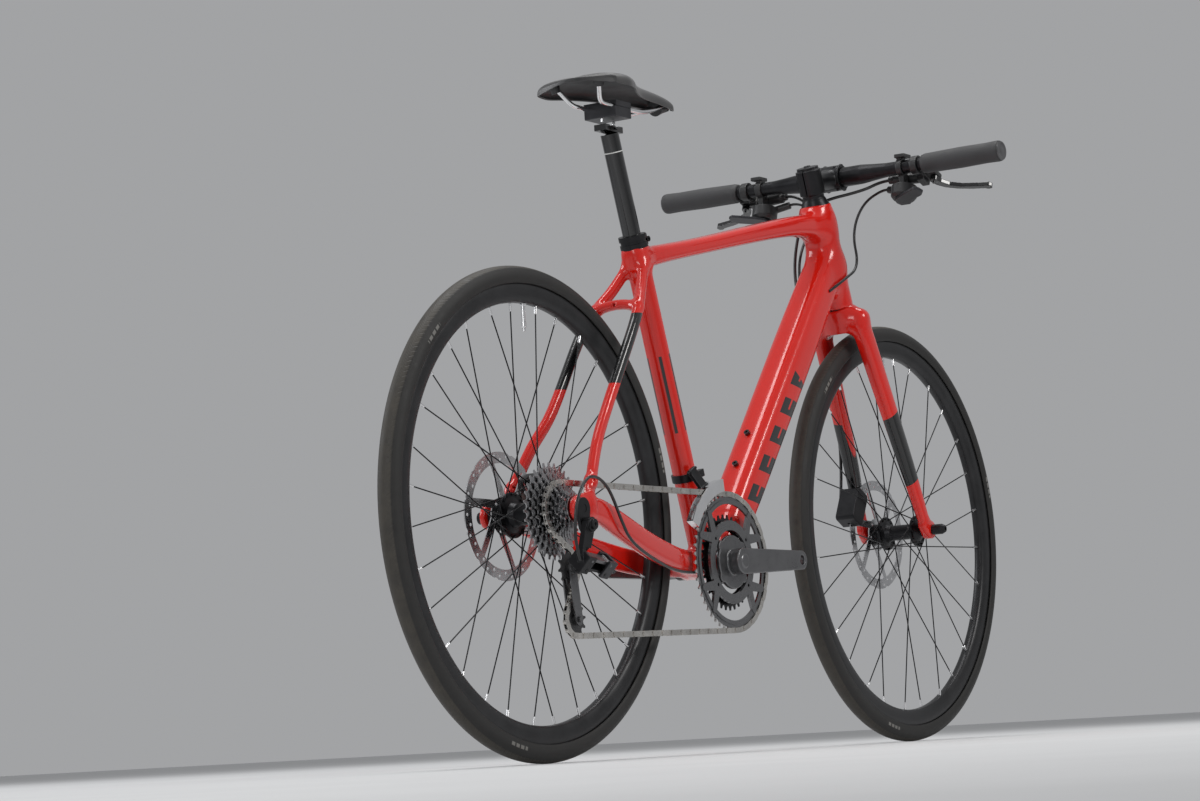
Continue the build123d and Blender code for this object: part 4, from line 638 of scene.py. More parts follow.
def tyre_material(name, cx):
    """Black rubber with a worn, dusty tread band, fine moulding lines and plain pale label patches."""
    m = Mat(name)
    x, y, z = m.xyz()
    dx, dz = m.add(x, -cx), m.add(z, -RWZ)
    r = m.math("SQRT", m.add(m.mul(dx, dx), m.mul(dz, dz)))
    a = m.math("ARCTAN2", dz, dx)
    ay = m.math("ABSOLUTE", y)
    dust = m.noise(60.0, 6.0, 0.7)
    fine = m.noise(900.0, 3.0, 0.6)
    tread = m.lin(ay, 0.0098, 0.0112, 1, 0)
    up = m.lin(r, 0.3352, 0.3366, 0, 1)
    tread = m.mul(tread, up)
    side = m.mix(m.lin(dust, 0.35, 0.75, 0, 1), (0.012, 0.0115, 0.011), (0.022, 0.021, 0.020))
    top = m.mix(m.lin(dust, 0.3, 0.75, 0, 1), (0.030, 0.027, 0.023), (0.062, 0.055, 0.045))
    col = m.mix(tread, side, top)
    # label patches: short plain bars on the sidewall
    w = m.math("FRACT", m.mul(a, 3.0 / (2 * math.pi)))
    lab = m.mul(m.mul(box_mask(m, w, 0.10, 0.155, 0.0008), box_mask(m, r, 0.3252, 0.3302, 0.0002)), m.lin(ay, 0.0120, 0.0123, 0, 1))
    cells = m.math("FRACT", m.mul(a, 190.0 / (2 * math.pi)))
    lab = m.mul(lab, box_mask(m, cells, 0.0, 0.72, 0.03))
    col = m.mix(m.mul(lab, 0.55), col, (0.30, 0.29, 0.27))
    # tread sipes: angled short cuts near the shoulders, and moulding rings on the side
    sip = m.math("FRACT", m.add(m.mul(a, 260.0 / (2 * math.pi)), m.mul(ay, 90.0)))
    sipm = m.mul(box_mask(m, sip, 0.0, 0.22, 0.06), box_mask(m, ay, 0.0062, 0.0112, 0.0004))
    dia = m.math("FRACT", m.add(m.mul(a, 520.0 / (2 * math.pi)), m.mul(y, 260.0)))
    file_ = m.mul(m.lin(m.math("ABSOLUTE", m.add(dia, -0.5)), 0.0, 0.5, 0, 1), box_mask(m, ay, -1.0, 0.0058, 0.0003))
    rings = m.math("SINE", m.mul(r, 2 * math.pi / 0.0011))
    h = m.add(m.add(m.mul(sipm, -1.0), m.mul(m.mul(file_, up), 0.30)), m.mul(m.mul(rings, m.math("SUBTRACT", 1.0, tread)), 0.08))
    h = m.add(h, m.mul(fine, 0.12))
    m.set(color=col, metal=0.0, rough=m.lin(dust, 0.3, 0.75, 0.50, 0.72), normal=m.bump(h, 0.55, 0.0006), spec=0.4)
    return m.m


def rim_material(name):
    m = Mat(name)
    g = m.noise(700.0, 3.0, 0.6)
    s = m.noise(24.0, 5.0, 0.65)
    c = m.mix(m.lin(s, 0.3, 0.7, 0, 1), (0.020, 0.020, 0.021), (0.034, 0.034, 0.036))
    m.set(color=c, metal=0.6, rough=m.lin(s, 0.3, 0.7, 0.30, 0.42), normal=m.bump(g, 0.10, 0.0003))
    return m.m


def saddle_material():
    m = Mat("saddle_cover")
    g = m.voronoi(900.0)
    s = m.noise(30.0, 4.0, 0.6)
    c = m.mix(m.lin(s, 0.3, 0.7, 0, 1), (0.012, 0.0115, 0.012), (0.024, 0.023, 0.024))
    m.set(color=c, metal=0.0, rough=m.lin(s, 0.3, 0.7, 0.34, 0.46), normal=m.bump(g, 0.22, 0.0004), sheen=0.15)
    return m.m


# ----------------------------------------------- the painted frame and fork
def stay_pts(pts, side, fix=False):
    o = []
    for x, y, z, a, b in pts:
        if fix and side > 0:
            y = y + {440: 6.0, 386: 5.0, 496: 1.5}.get(z, 0.0)
        o.append((x, side * y, z, a, b))
    return o


CS = [(30, 73, 345, 15, 6.5), (63, 69, 341, 17.5, 8), (119, 62.5, 325, 19, 8), (213, 49, 300, 19, 8), (300, 36.5, 284, 18, 7), (360, 28, 279.5, 17, 6), (428, 26, 278.5, 16, 6)]
SS = [(299, 13, 716, 8, 7.5), (268, 26, 676, 8, 7.5), (238, 38.5, 644, 8.5, 7.5), (205, 45, 603, 8.5, 7), (131, 46.5, 496, 8.5, 7), (88, 53, 440, 8.5, 7), (53, 63, 386, 8.5, 7), (30, 72, 358, 8.5, 6.5)]
f = Field()
f.cyl(ht(394), ht(563), 27.0, 24.0, k=10, rnd=1.5)
f.tube([(300, 0, 726, 17, 16), (370, 0, 741, 14, 19), (484.5, 0, 765, 13, 20), (637, 0, 798, 14, 20.5), (745, 0, 820, 15.5, 20), (800, 0, 828, 17.5, 20), (856, 0, 832, 21, 20)], k=30, n=3.0)
f.tube([(470, 0, 281.5, 22, 27), (545, 0, 373, 31, 29), (640, 0, 489, 32, 29), (760, 0, 635.5, 32, 29), (850, 0, 745, 30, 27), (872, 0, 772, 28, 25)], k=22, n=3.2)
f.cyl(st(-2), st(500), 17.45, k=16, rnd=1.0)
f.cyl((444, -34, 280), (444, 34, 280), 21.5, k=16, rnd=1.2)
for sd in (1, -1):
    f.tube(stay_pts(CS, sd), k=12, n=2.8)
    f.tube(stay_pts(SS, sd, True), k=10, n=2.4)
    f.tube([(0, sd * 75, 343, 17.5, 4.0), (16, sd * 75, 347, 18.5, 4.0), (34, sd * 75, 350, 19, 4.0)], k=5, n=3.4)
    f.cyl((0, sd * 71, 343), (0, sd * 79, 343), 17.8, k=4, rnd=1.2)
    f.ball((50, sd * (68.5 if sd > 0 else 64.5), 384), 9.0, k=8)
f.tube([(238, -36, 646, 7.5, 7.5), (240, -14, 652, 7.5, 7.5), (240, 14, 652, 7.5, 7.5), (238, 36, 646, 7.5, 7.5)], k=9, n=2.0, across=(1, 0, 0))
f.tube([(392, 0, 283, 13, 20), (420, 0, 280, 17, 24)], k=16, n=2.6)
for sd in (1, -1):
    f.cyl((0, sd * 60, 343), (0, sd * 95, 343), 6.35, k=0.5, neg=True, rnd=0.2)
    f.cyl((47, sd * 78, 385), (47, sd * 60, 385), 2.5, k=0.5, neg=True, rnd=0.2)
f.cyl((205, 0, 652), (275, 0, 652), 2.6, k=0.6, neg=True, rnd=0.2)
f.cyl((0, -30, 343), (0, 30, 343), 349.0, k=3, neg=True, rnd=6.0)
f.cyl((444, -50, 280), (444, 50, 280), 17.4, k=0.5, neg=True, rnd=0.1)
f.cyl(st(410), st(520), 13.75, k=0.4, neg=True, rnd=0.1)
f.cyl(ht(380), ht(395.5), 24.4, k=0.5, neg=True, rnd=0.1)
f.cyl(ht(561), ht(600), 21.0, k=0.5, neg=True, rnd=0.1)
import time
t0 = time.time()
V, Fq = f.mesh(2.4)
print("frame mesh", len(V), round(time.time() - t0, 1), "s")
paint = paint_base("frame_paint", frame_panels, frame_grey)
fr = piece("frame_painted", V, Fq, paint, "frame", reps=("head_tube", "top_tube", "down_tube", "seat_tube", "chainstay_left", "chainstay_right", "seatstays"), angle=180)

LEG = [(915, 30, 681, 19, 15), (921, 37.5, 655, 19, 13), (947, 41, 598, 18, 12.5), (982, 46, 520, 16.5, 11.5), (1013, 50.5, 450, 15, 10.5), (1034, 55, 396, 13, 9), (1046, 57, 366, 12, 8), (1056, 57.5, 345, 12, 7)]
g = Field()
g.cyl(ht(354), ht(391), 26.0, 26.4, k=10, rnd=1.2)
g.tube([(915, -31, 681, 20, 17), (908, 0, 692, 20, 20), (915, 31, 681, 20, 17)], k=14, n=2.4, across=(1, 0, 0))
for sd in (1, -1):
    g.tube([(x, sd * y, z, a, b) for x, y, z, a, b in LEG], k=12, n=2.5)
    g.tube([(1050, sd * 57, 354, 13, 7), (1064.5, sd * 57, 343, 14, 7)], k=5, n=3.4)
    g.cyl((1064.5, sd * 50, 343), (1064.5, sd * 64, 343), 14.3, k=4, rnd=1.2)
g.cyl((1064.5, -25, 343), (1064.5, 25, 343), 352.0, k=4, neg=True, rnd=8.0)
for sd in (1, -1):
    g.cyl((1064.5, sd * 30, 343), (1064.5, sd * 49.9, 343), 40.0, k=0.5, neg=True, rnd=0.2)
    g.cyl((1064.5, sd * 45, 343), (1064.5, sd * 90, 343), 6.3, k=0.5, neg=True, rnd=0.1)
V, Fq = g.mesh(2.0)
print("fork mesh", len(V), round(time.time() - t0, 1), "s")
fork_paint = paint_base("fork_paint", fork_panels)
fo = piece("fork_painted", V, Fq, fork_paint, "steering", reps=("fork_crown", "fork_leg_left", "fork_leg_right"), angle=180)


# ------------------------------------------ softened castings from the frame
def soften(node, voxel, mat, its=4, keep=None, name=None):
    """A cast or moulded version of a CAD piece: edges rounded by remeshing and light smoothing."""
    src = frame["nodes"][node]
    me = src.data.copy()
    o = bpy.data.objects.new(name or node + "_cast", me)
    bpy.context.scene.collection.objects.link(o)
    bm = bmesh.new()
    bm.from_mesh(me)
    bmesh.ops.remove_doubles(bm, verts=bm.verts, dist=1e-5)
    bm.to_mesh(me)
    bm.free()
    r = o.modifiers.new("r", "REMESH")
    r.mode = "VOXEL"
    r.voxel_size = voxel
    r.adaptivity = 0.0
    s = o.modifiers.new("s", "SMOOTH")
    s.factor = 0.5
    s.iterations = its
    dg = bpy.context.evaluated_depsgraph_get()
    dg.update()
    new = bpy.data.meshes.new_from_object(o.evaluated_get(dg))
    o.modifiers.clear()
    o.data = new
    new.materials.clear()
    new.materials.append(mat)
    smooth(o, 180)
    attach(o, BODY[node])
    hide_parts(node)
    return o


SOFT = [("stem", 0.9, black_ano, 3), ("brake_lever_bodies", 0.8, plas, 5), ("brake_lever_left", 0.6, black_gloss, 5), ("brake_lever_right", 0.6, black_gloss, 5),
        ("shifter_bodies", 0.8, plas, 5), ("shift_paddle_left", 0.6, dark_grey, 5), ("shift_paddle_right", 0.6, dark_grey, 5),
        ("front_caliper", 0.8, black_ano, 4), ("rear_caliper", 0.8, black_ano, 4), ("crank_arm_right", 0.9, satin_grey, 7), ("crank_arm_left", 0.9, satin_grey, 7),
        ("derailleur_b_knuckle", 0.6, black_ano, 3), ("derailleur_p_knuckle", 0.6, dark_grey, 3), ("derailleur_outer_link", 0.5, satin_grey, 3), ("derailleur_inner_link", 0.5, black_ano, 3),
        ("front_derailleur_clamp", 0.7, black_ano, 4), ("front_derailleur_link", 0.5, black_ano, 3)]
for nd, vx, mt, its in SOFT:
    soften(nd, vx / 1000, mt, its)
print("castings", round(time.time() - t0, 1), "s")


# -------------------------------------------------------- turned ring pieces
def revolve_piece(name, prof, cx, mat, body, reps, seg=256, closed=True, angle=40, wave=None):
    """prof is (radius, y) in mm about the wheel axis at cx"""
    verts, faces = [], []
    n = len(prof)
    for i in range(seg):
        a = 2 * math.pi * i / seg
        for j, (r, y) in enumerate(prof):
            rr = r + (wave(a, j) if wave else 0.0)
            verts.append((cx + rr * math.cos(a), y, 343 + rr * math.sin(a)))
    for i in range(seg):
        for j in range(n if closed else n - 1):
            a, b = i * n + j, i * n + (j + 1) % n
            c, d = ((i + 1) % seg) * n + (j + 1) % n, ((i + 1) % seg) * n + j
            faces.append((a, d, c, b))
    return piece(name, verts, faces, mat, body, reps=reps, angle=angle)


def tyre_profile():
    pr = []
    for k in range(0, 49):
        th = math.radians(-128 + 256 * k / 48)      # from one bead to the other over the crown
        r, y = 327 + 16 * math.cos(th), 16 * math.sin(th)
        # moulded shoulder step and rim line
        if abs(math.degrees(th)) < 44:
            r += 0.0
        elif abs(math.degrees(th)) < 50:
            r -= 0.25
        elif abs(math.degrees(th)) < 112:
            q = 15.6
            r, y = 327 + q * math.cos(th), q * math.sin(th)
        pr.append((r, y))
    inner = [(327 + 12.8 * math.cos(t), 12.8 * math.sin(t)) for t in [math.radians(120 - 240 * k / 16) for k in range(17)]]
    return [(r, y) for r, y in pr if r > 314.5] + [(r, y) for r, y in inner if r > 314.5]


h = 11.2
rim_prof = [(292, -5.0), (291.4, -3.0), (291.2, 0), (291.4, 3.0), (292, 5.0), (293.4, 7.2), (297, h - 2.2), (300.4, h - 1.1), (304, h - 0.4), (310, h), (316.6, h), (317.5, h - 0.5), (317.5, h - 1.5), (316.8, h - 1.9), (311, h - 2.0), (309, 3), (308, 0),
            (309, -3), (311, -h + 2.0), (316.8, -h + 1.9), (317.5, -h + 1.5), (317.5, -h + 0.5), (316.6, -h), (310, -h), (304, -h + 0.4), (300.4, -h + 1.1), (297, -h + 2.2), (293.4, -7.2)]


def tube_mesh(pts, radii, seg=16):
    """straight-axis lathe along a polyline of points in mm"""
    verts, faces = [], []
    P = [np.array(p, dtype=float) for p in pts]
    d = P[-1] - P[0]
    d = d / np.linalg.norm(d)
    e1 = np.cross(d, (0.3, 1.0, 0.2))
    e1 = e1 / np.linalg.norm(e1)
    e2 = np.cross(d, e1)
    for p, r in zip(P, radii):
        for k in range(seg):
            a = 2 * math.pi * k / seg
            verts.append(p + r * (math.cos(a) * e1 + math.sin(a) * e2))
    for i in range(len(P) - 1):
        for k in range(seg):
            faces.append((i * seg + k, i * seg + (k + 1) % seg, (i + 1) * seg + (k + 1) % seg, (i + 1) * seg + k))
    faces.append(tuple(range(seg))[::-1])
    faces.append(tuple((len(P) - 1) * seg + k for k in range(seg)))
    return verts, faces


for nm, cx, va in (("rear", 0.0, 90.0), ("front", 1064.5, 93.0)):
    revolve_piece(nm + "_tyre_casing", tyre_profile(), cx, tyre_material(nm + "_tyre_rubber", (cx - X0) / 1000), nm + "_wheel", (nm + "_tyre",), seg=320, angle=180)
    revolve_piece(nm + "_rim_shell", rim_prof, cx, rim_material(nm + "_rim_alloy"), nm + "_wheel", (nm + "_rim",), seg=320, angle=38)
    a = math.radians(va)
    vd = np.array([math.cos(a), 0, math.sin(a)])
    c = np.array([cx, 0, 343.0])
    L = [(309, 3.0), (291.2, 3.0), (291, 4.9), (288.4, 4.9), (288.0, 3.0), (285, 2.9), (266, 2.9), (265.2, 3.6), (259, 3.6), (257.5, 2.4), (253, 2.2), (252, 1.4)]
    vv, ff = tube_mesh([c + vd * r for r, _ in L], [q for _, q in L], 20)
    piece(nm + "_valve_stem", vv, ff, bright, nm + "_wheel", angle=30)

for nd, mt in (("front_spokes", spoke_material("front_spoke_wire", FWX)), ("rear_spokes", spoke_material("rear_spoke_wire", RWX)), ("front_rotor", rotor_f), ("rear_rotor", rotor_r),
               ("cassette", cass_mat), ("chain", chain_mat), ("chainrings", rings_material()), ("front_hub", black_ano), ("rear_hub", black_ano), ("derailleur_hanger", black_ano),
               ("seat_clamp", black_ano), ("bottle_bolts", black_gloss), ("bottom_bracket_cups", black_ano), ("headset_bearings", black_ano), ("rear_thru_axle", black_ano), ("front_thru_axle", black_ano),
               ("rear_pad_outer", pad_mat), ("rear_pad_inner", pad_mat), ("front_pad_outer", pad_mat), ("front_pad_inner", pad_mat), ("handlebar", black_ano), ("derailleur_cage", satin_grey),
               ("guide_pulley", plas), ("tension_pulley", plas), ("front_derailleur_cage", bright), ("seatpost", black_gloss)):
    cad_mat(nd, mt)


# ----------------------------------------------------------------- grips
def bar_x(y):
    return 912.0 - max(0.0, abs(y) - 45) / 265 * 11.5


def grip(side):
    ys = np.linspace(172, 311, 140)
    base = np.interp(ys, [172, 176, 196, 240, 285, 307, 311], [14.6, 16.0, 16.2, 16.9, 16.2, 16.8, 16.2])
    seg = 96
    verts, faces = [], []
    for i, (yy, r) in enumerate(zip(ys, base)):
        for k in range(seg):
            a = 2 * math.pi * k / seg
            rr = r
            if 180 < yy < 303:
                # palm pattern: diamonds on the rear half, shallow ribs in front
                u, v = yy / 6.0, a * 16 / 6.0 * 1.0
                back = 0.5 - 0.5 * math.cos(a)
                p = abs(((u + v * 2.0) % 1.0) - 0.5) + abs(((u - v * 2.0) % 1.0) - 0.5)
                rr -= 0.55 * max(0.0, 1 - p * 2.2) * (0.35 + 0.65 * back)
                if 228 < yy < 252:
                    rr += 0.15
            if yy < 178:
                rr -= 0.4 * math.sin((178 - yy) * 0.5)
            rr = min(rr, r)
            x = bar_x(yy) + rr * math.cos(a)
            verts.append((x, side * yy, 918 + rr * math.sin(a)))
    n = len(ys)
    for k in range(seg):
        a = 2 * math.pi * k / seg
        verts.append((bar_x(311) + 11.2 * math.cos(a), side * 311, 918 + 11.2 * math.sin(a)))
    for k in range(seg):
        a = 2 * math.pi * k / seg
        verts.append((bar_x(172) + 11.2 * math.cos(a), side * 172, 918 + 11.2 * math.sin(a)))
    for i in range(n):
        for k in range(seg):
            q = (i * seg + k, (i + 1) * seg + k, (i + 1) * seg + (k + 1) % seg, i * seg + (k + 1) % seg)
            faces.append(q if side > 0 else q[::-1])
    last = n + 1
    for k in range(seg):
        q = (last * seg + k, k, (k + 1) % seg, last * seg + (k + 1) % seg)
        faces.append(q if side > 0 else q[::-1])
    return verts, faces


for sd, nm in ((1, "left"), (-1, "right")):
    vv, ff = grip(sd)
    piece("grip_" + nm, vv, ff, grip_mat, "steering", reps=("grips",), angle=180)
    pr = [(311.2, 11.0), (311.2, 14.4), (311.8, 15.1), (313.2, 15.2), (314.0, 14.4), (314.2, 12.0), (313.7, 11.0), (313.5, 6.0), (313.9, 4.0), (313.9, 0.4)]
    vv, ff = tube_mesh([(bar_x(y), sd * y, 918) for y, _ in pr], [r for _, r in pr], 48)
    piece("bar_end_cap_" + nm, vv, ff, satin_grey, "steering", angle=40)


# ----------------------------------------------------------- hoses, cables
def nurbs(name, pts, r, mat, bevel=True):
    cu = bpy.data.curves.new(name, "CURVE")
    cu.dimensions = "3D"
    s = cu.splines.new("NURBS")
    s.points.add(len(pts) - 1)
    for i, p in enumerate(pts):
        s.points[i].co = ((p[0] - X0) / 1000, p[1] / 1000, p[2] / 1000, 1.0)
    s.use_endpoint_u = True
    s.order_u = 3
    s.resolution_u = 12
    cu.bevel_depth = r / 1000 if bevel else 0.0
    cu.bevel_resolution = 5
    cu.use_fill_caps = bevel
    if mat:
        cu.materials.append(mat)
    return cu


def hose_piece(name, pts, r, body, blend=None):
    tmp = bpy.data.objects.new(name + "_line", nurbs(name + "_line", pts, r, None, False))
    bpy.context.scene.collection.objects.link(tmp)
    dg = bpy.context.evaluated_depsgraph_get()
    dg.update()
    me = bpy.data.meshes.new_from_object(tmp.evaluated_get(dg))
    bpy.data.objects.remove(tmp)
    tmp = bpy.data.objects.new(name + "_tube", nurbs(name + "_tube", pts, r, rubber_hose, True))
    bpy.context.scene.collection.objects.link(tmp)
    dg = bpy.context.evaluated_depsgraph_get()
    dg.update()
    me = bpy.data.meshes.new_from_object(tmp.evaluated_get(dg))
    bpy.data.objects.remove(tmp)
    o = bpy.data.objects.new(name, me)
    bpy.context.scene.collection.objects.link(o)
    smooth(o, 60)
    if blend:
        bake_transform(o)
    else:
        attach(o, body)
    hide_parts("cables_and_hoses")
    return o


def P3(x, y, z):
    return ((x - X0) / 1000, y / 1000, z / 1000)


hose_piece("rear_brake_hose", [(930.3, -95.7, 904.3), (930.3, -80, 904.3), (924, -50, 893), (890, 16, 880), (862, 34, 846), (852, 44, 790), (835, 36, 740), (822, 24, 716)], 2.5, None, (P3(900, 0, 884), P3(835, 36, 740)))
hose_piece("front_brake_hose", [(930.3, 95.7, 904.3), (930.3, 80, 904.3), (934, 50, 880), (915, 42, 830), (925, 47, 740), (932, 50, 690), (944, 57, 640), (976, 60, 560), (1003, 64, 500), (1004, 66, 440), (990, 62, 405)], 2.5, "steering")
hose_piece("rear_gear_cable", [(934.1, -91.6, 890.1), (937.4, -79, 892.8), (948, -34, 876), (945, -14, 830), (925, -34, 770), (872, -34, 744), (830, -28, 722)], 2.2, None, (P3(946, -30, 870), P3(850, -32, 735)))
hose_piece("front_gear_cable", [(934.1, 91.6, 890.1), (937.4, 79, 892.8), (938, 44, 872), (900, 40, 838), (862, 40, 792), (845, 34, 752), (832, 26, 728)], 2.2, None, (P3(938, 44, 872), P3(845, 34, 752)))
hose_piece("rear_gear_housing", [(352, -40, 264), (300, -46, 262), (215, -61, 276), (128, -75, 300), (96, -81, 330), (66, -84, 372), (30, -88, 388), (-6, -93, 384), (-34, -94, 350), (-40, -93, 306), (-32, -92, 278), (-26, -91, 271)], 2.2, "frame")


# ----------------------------------------------------------------- saddle
SAD = [(150, 60, 977, 9), (165, 69, 979, 15), (195, 71, 983, 19), (225, 62, 984, 18), (260, 44, 983, 17), (300, 29, 982, 16.5), (345, 21.5, 981, 15.5), (390, 17.5, 977, 13.5), (412, 13.5, 971, 9.5), (418, 6, 967, 4)]


def saddle_mesh():
    S = np.array(SAD, dtype=float)
    n = 96
    t = np.linspace(0, 1, n)
    # closer sections at both ends
    u = 0.5 - 0.5 * np.cos(math.pi * t)
    xs = 150.3 + (417.7 - 150.3) * u
    M1, M2 = 44, 30
    verts, faces, mats = [], [], []

    def lerp(col):
        # monotone cubic through the sections
        x, y = S[:, 0], S[:, col]
        hseg = np.diff(x)
        dl = np.diff(y) / hseg
        m = np.zeros(len(x))
        m[1:-1] = np.where(dl[1:] * dl[:-1] > 0, 2 * dl[1:] * dl[:-1] / (dl[1:] + dl[:-1] + 1e-12), 0)
        m[0], m[-1] = dl[0], dl[-1]
        k = np.clip(np.searchsorted(x, xs) - 1, 0, len(x) - 2)
        s = (xs - x[k]) / hseg[k]
        return ((2 * s ** 3 - 3 * s ** 2 + 1) * y[k] + (s ** 3 - 2 * s ** 2 + s) * hseg[k] * m[k] + (-2 * s ** 3 + 3 * s ** 2) * y[k + 1] + (s ** 3 - s ** 2) * hseg[k] * m[k + 1])

    hw, zt, th = lerp(1), lerp(2), lerp(3)
    endf = np.minimum(1.0, np.sqrt(np.clip(np.minimum((xs - 149.9) / 16.0, (418.1 - xs) / 12.0), 0.0008, 1)))
    hw = hw * endf
    for i in range(n):
        H = th[i] * 1.25
        depth = H * (0.35 + 0.65 * endf[i])
        zb = zt[i] - H * 0.5 - depth * 0.5
        top = zb + depth
        for k in range(M1 + 1):
            a = math.pi * k / M1
            c, s_ = math.cos(a), math.sin(a)
            y = hw[i] * math.copysign(abs(c) ** 0.62, c)
            z = zb + depth * abs(s_) ** 0.62
            r = abs(y) / max(hw[i], 1e-6)
            z -= 1.6 * math.exp(-(y / 7.0) ** 2) * min(1, hw[i] / 30) * endf[i]          # shallow central channel
            z -= 0.7 * math.exp(-((r - 0.86) / 0.012) ** 2) * endf[i]                    # seam of the side panel
            verts.append((xs[i], y, min(z, top)))
        for k in range(M2 + 1):
            a = math.pi * (1 - k / M2)
            c, s_ = math.cos(a), math.sin(a)
            y = (hw[i] - 3.2 * min(1, hw[i] / 12)) * math.copysign(abs(c) ** 0.7, c)
            z = zb + 1.0 + (depth - 8.5 * min(1, depth / 16)) * abs(s_) ** 0.8
            verts.append((xs[i], y, z))
    W_ = M1 + M2 + 2
    for i in range(n - 1):
        for k in range(W_):
            a, b = i * W_ + k, i * W_ + (k + 1) % W_
            c, d = (i + 1) * W_ + (k + 1) % W_, (i + 1) * W_ + k
            faces.append((a, b, c, d))
            mats.append(1 if k > M1 else 0)
    faces.append(tuple(range(W_))[::-1])
    faces.append(tuple((n - 1) * W_ + k for k in range(W_)))
    mats += [0, 0]
    return verts, faces, mats


vv, ff, mm = saddle_mesh()
cover = piece("saddle_cover", vv, ff, saddle_material(), "saddle", reps=("saddle",), angle=50)
cover.data.materials.append(plastic("saddle_base", (0.016, 0.016, 0.017), 0.5, 500.0, 0.25))
if len(cover.data.polygons) == len(mm):
    cover.data.polygons.foreach_set("material_index", np.array(mm, dtype=np.int32))
bm = bmesh.new()
bm.from_mesh(cover.data)
bmesh.ops.recalc_face_normals(bm, faces=bm.faces)
bm.to_mesh(cover.data)
bm.free()


def smooth_tube(name, pts, r, mat, body, seg=20, per=8):
    S = catmull([(*p, 1, 1) for p in pts], per)[:, :3]
    verts, faces = [], []
    up = np.array([0.0, 1.0, 0.0])
    for i, p in enumerate(S):
        d = S[min(i + 1, len(S) - 1)] - S[max(i - 1, 0)]
        d = d / np.linalg.norm(d)
        e1 = up - d * (up @ d)
        e1 = e1 / np.linalg.norm(e1)
        e2 = np.cross(d, e1)
        for k in range(seg):
            a = 2 * math.pi * k / seg
            verts.append(p + r * (math.cos(a) * e1 + math.sin(a) * e2))
    for i in range(len(S) - 1):
        for k in range(seg):
            faces.append((i * seg + k, i * seg + (k + 1) % seg, (i + 1) * seg + (k + 1) % seg, (i + 1) * seg + k))
    faces.append(tuple(range(seg))[::-1])
    faces.append(tuple((len(S) - 1) * seg + k for k in range(seg)))
    return piece(name, verts, faces, mat, body, angle=60)


RZ = 943.0
for sd, nm in ((1, "left"), (-1, "right")):
    smooth_tube("saddle_rail_" + nm, [(166, sd * 38, 968), (174, sd * 33, 960), (188, sd * 25, 945), (206, sd * 22, 941.7), (250, sd * 22, 941.7), (296, sd * 21.6, 941.8), (330, sd * 17, 948), (362, sd * 11, 957), (388, sd * 8, 966)], 3.5, bright, "saddle")
    vv, ff = tube_mesh([(168, sd * 36.8, 960), (164, sd * 39, 972)], [6.5, 8.5], 24)
    piece("rail_socket_" + nm, vv, ff, plas, "saddle", angle=30)
vv, ff = tube_mesh([(376, 0, 961), (398, 0, 968)], [12, 10], 24)
piece("nose_socket", vv, ff, plas, "saddle", angle=30)

# clamp and cradle: the loose CAD solids under the cover, with their bolts
src = frame["nodes"]["saddle"]
bm = bmesh.new()
bm.from_mesh(src.data)
bmesh.ops.remove_doubles(bm, verts=bm.verts, dist=1e-6)
seen, drop = set(), []
bm.verts.ensure_lookup_table()
for v in bm.verts:
    if v.index in seen:
        continue
    isl, stack = [], [v]
    seen.add(v.index)
    while stack:
        w = stack.pop()
        isl.append(w)
        for e in w.link_edges:
            q = e.other_vert(w)
            if q.index not in seen:
                seen.add(q.index)
                stack.append(q)
    ex = max(w.co.x for w in isl) - min(w.co.x for w in isl)
    if ex > 0.06:
        drop += isl
bmesh.ops.delete(bm, geom=drop, context="VERTS")
me = bpy.data.meshes.new("saddle_clamp")
bm.to_mesh(me)
bm.free()
clamp = bpy.data.objects.new("saddle_clamp", me)
bpy.context.scene.collection.objects.link(clamp)
me.materials.clear()
me.materials.append(dark_grey)
smooth(clamp, 30)
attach(clamp, "saddle")
for sx_, nm in ((-1, "rear"), (1, "front")):
    cx_ = 245.1 + sx_ * 15.5
    vv, ff = tube_mesh([(cx_, 0, 919 + (2 if sx_ < 0 else 0)), (cx_, 0, 948.9), (cx_, 0, 949), (cx_, 0, 953), (cx_, 0, 953.5)], [2.4, 2.4, 4.6, 4.6, 3.8], 20)
    piece("clamp_bolt_" + nm, vv, ff, bright, "saddle", angle=30)
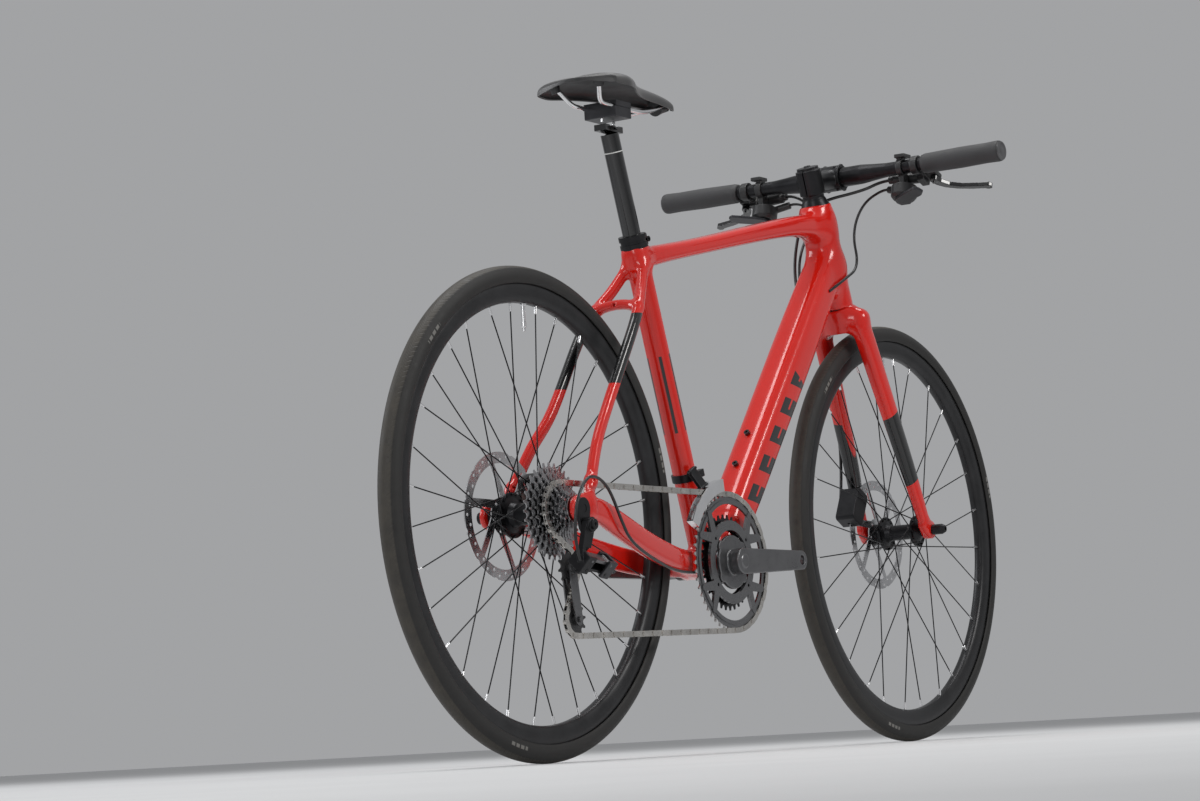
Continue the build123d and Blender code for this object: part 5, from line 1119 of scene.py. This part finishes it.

# thin white ring on the post
def band(name, s0, s1, r, mat, body, seg=64):
    vv, ff = tube_mesh([st(s0), st(s0 + 0.05), st(s1 - 0.05), st(s1)], [r - 0.3, r, r, r - 0.3], seg)
    return piece(name, vv, ff, mat, body, angle=30)


ring_white = plastic("post_mark", (0.62, 0.62, 0.60), 0.35, 600.0, 0.04)
band("post_ring", 628.0, 629.6, 13.64, ring_white, "seatpost")

# ------------------------------------------------ floor, light and backdrop
fl = bpy.data.meshes.new("floor")
fl.from_pydata([(-60, -60, 0), (60, -60, 0), (60, 60, 0), (-60, 60, 0)], [], [(0, 1, 2, 3)])
flo = bpy.data.objects.new("floor", fl)
bpy.context.scene.collection.objects.link(flo)
fm = Mat("floor")
gn = fm.noise(3.0, 4.0, 0.6)
fm.set(color=fm.mix(fm.lin(gn, 0.3, 0.7, 0, 1), (0.60, 0.605, 0.61), (0.63, 0.635, 0.64)), rough=0.6)
fl.materials.append(fm.m)
w = bpy.data.worlds.new("studio")
bpy.context.scene.world = w
w.use_nodes = True
w.node_tree.nodes["Background"].inputs[0].default_value = (0.86, 0.87, 0.89, 1)
w.node_tree.nodes["Background"].inputs[1].default_value = 0.42
bpy.context.scene.view_settings.view_transform = "Standard"


def area(name, loc, target, size, energy, col=(1, 1, 1), size_y=None):
    ld = bpy.data.lights.new(name, "AREA")
    ld.shape = "RECTANGLE"
    ld.size = size
    ld.size_y = size_y or size
    ld.energy = energy
    ld.color = col
    o = bpy.data.objects.new(name, ld)
    bpy.context.scene.collection.objects.link(o)
    o.location = loc
    o.rotation_euler = (Vector(target) - Vector(loc)).to_track_quat("-Z", "Y").to_euler()
    return o


area("key", (0.6, -3.6, 2.7), (0.1, 0, 0.5), 1.3, 62, (1.0, 0.985, 0.96))
area("top", (0.2, 0.3, 3.4), (0.1, 0, 0.5), 3.2, 60, (1, 1, 1), 1.0)
area("rear", (-3.6, -0.6, 1.7), (-0.3, 0, 0.5), 0.9, 26, (1, 1, 1), 2.2)
area("back", (-1.6, 3.4, 2.2), (0.0, 0, 0.6), 1.6, 40, (0.95, 0.97, 1.0))

bpy.context.view_layer.update()
print("total", round(time.time() - t0, 1), "s")
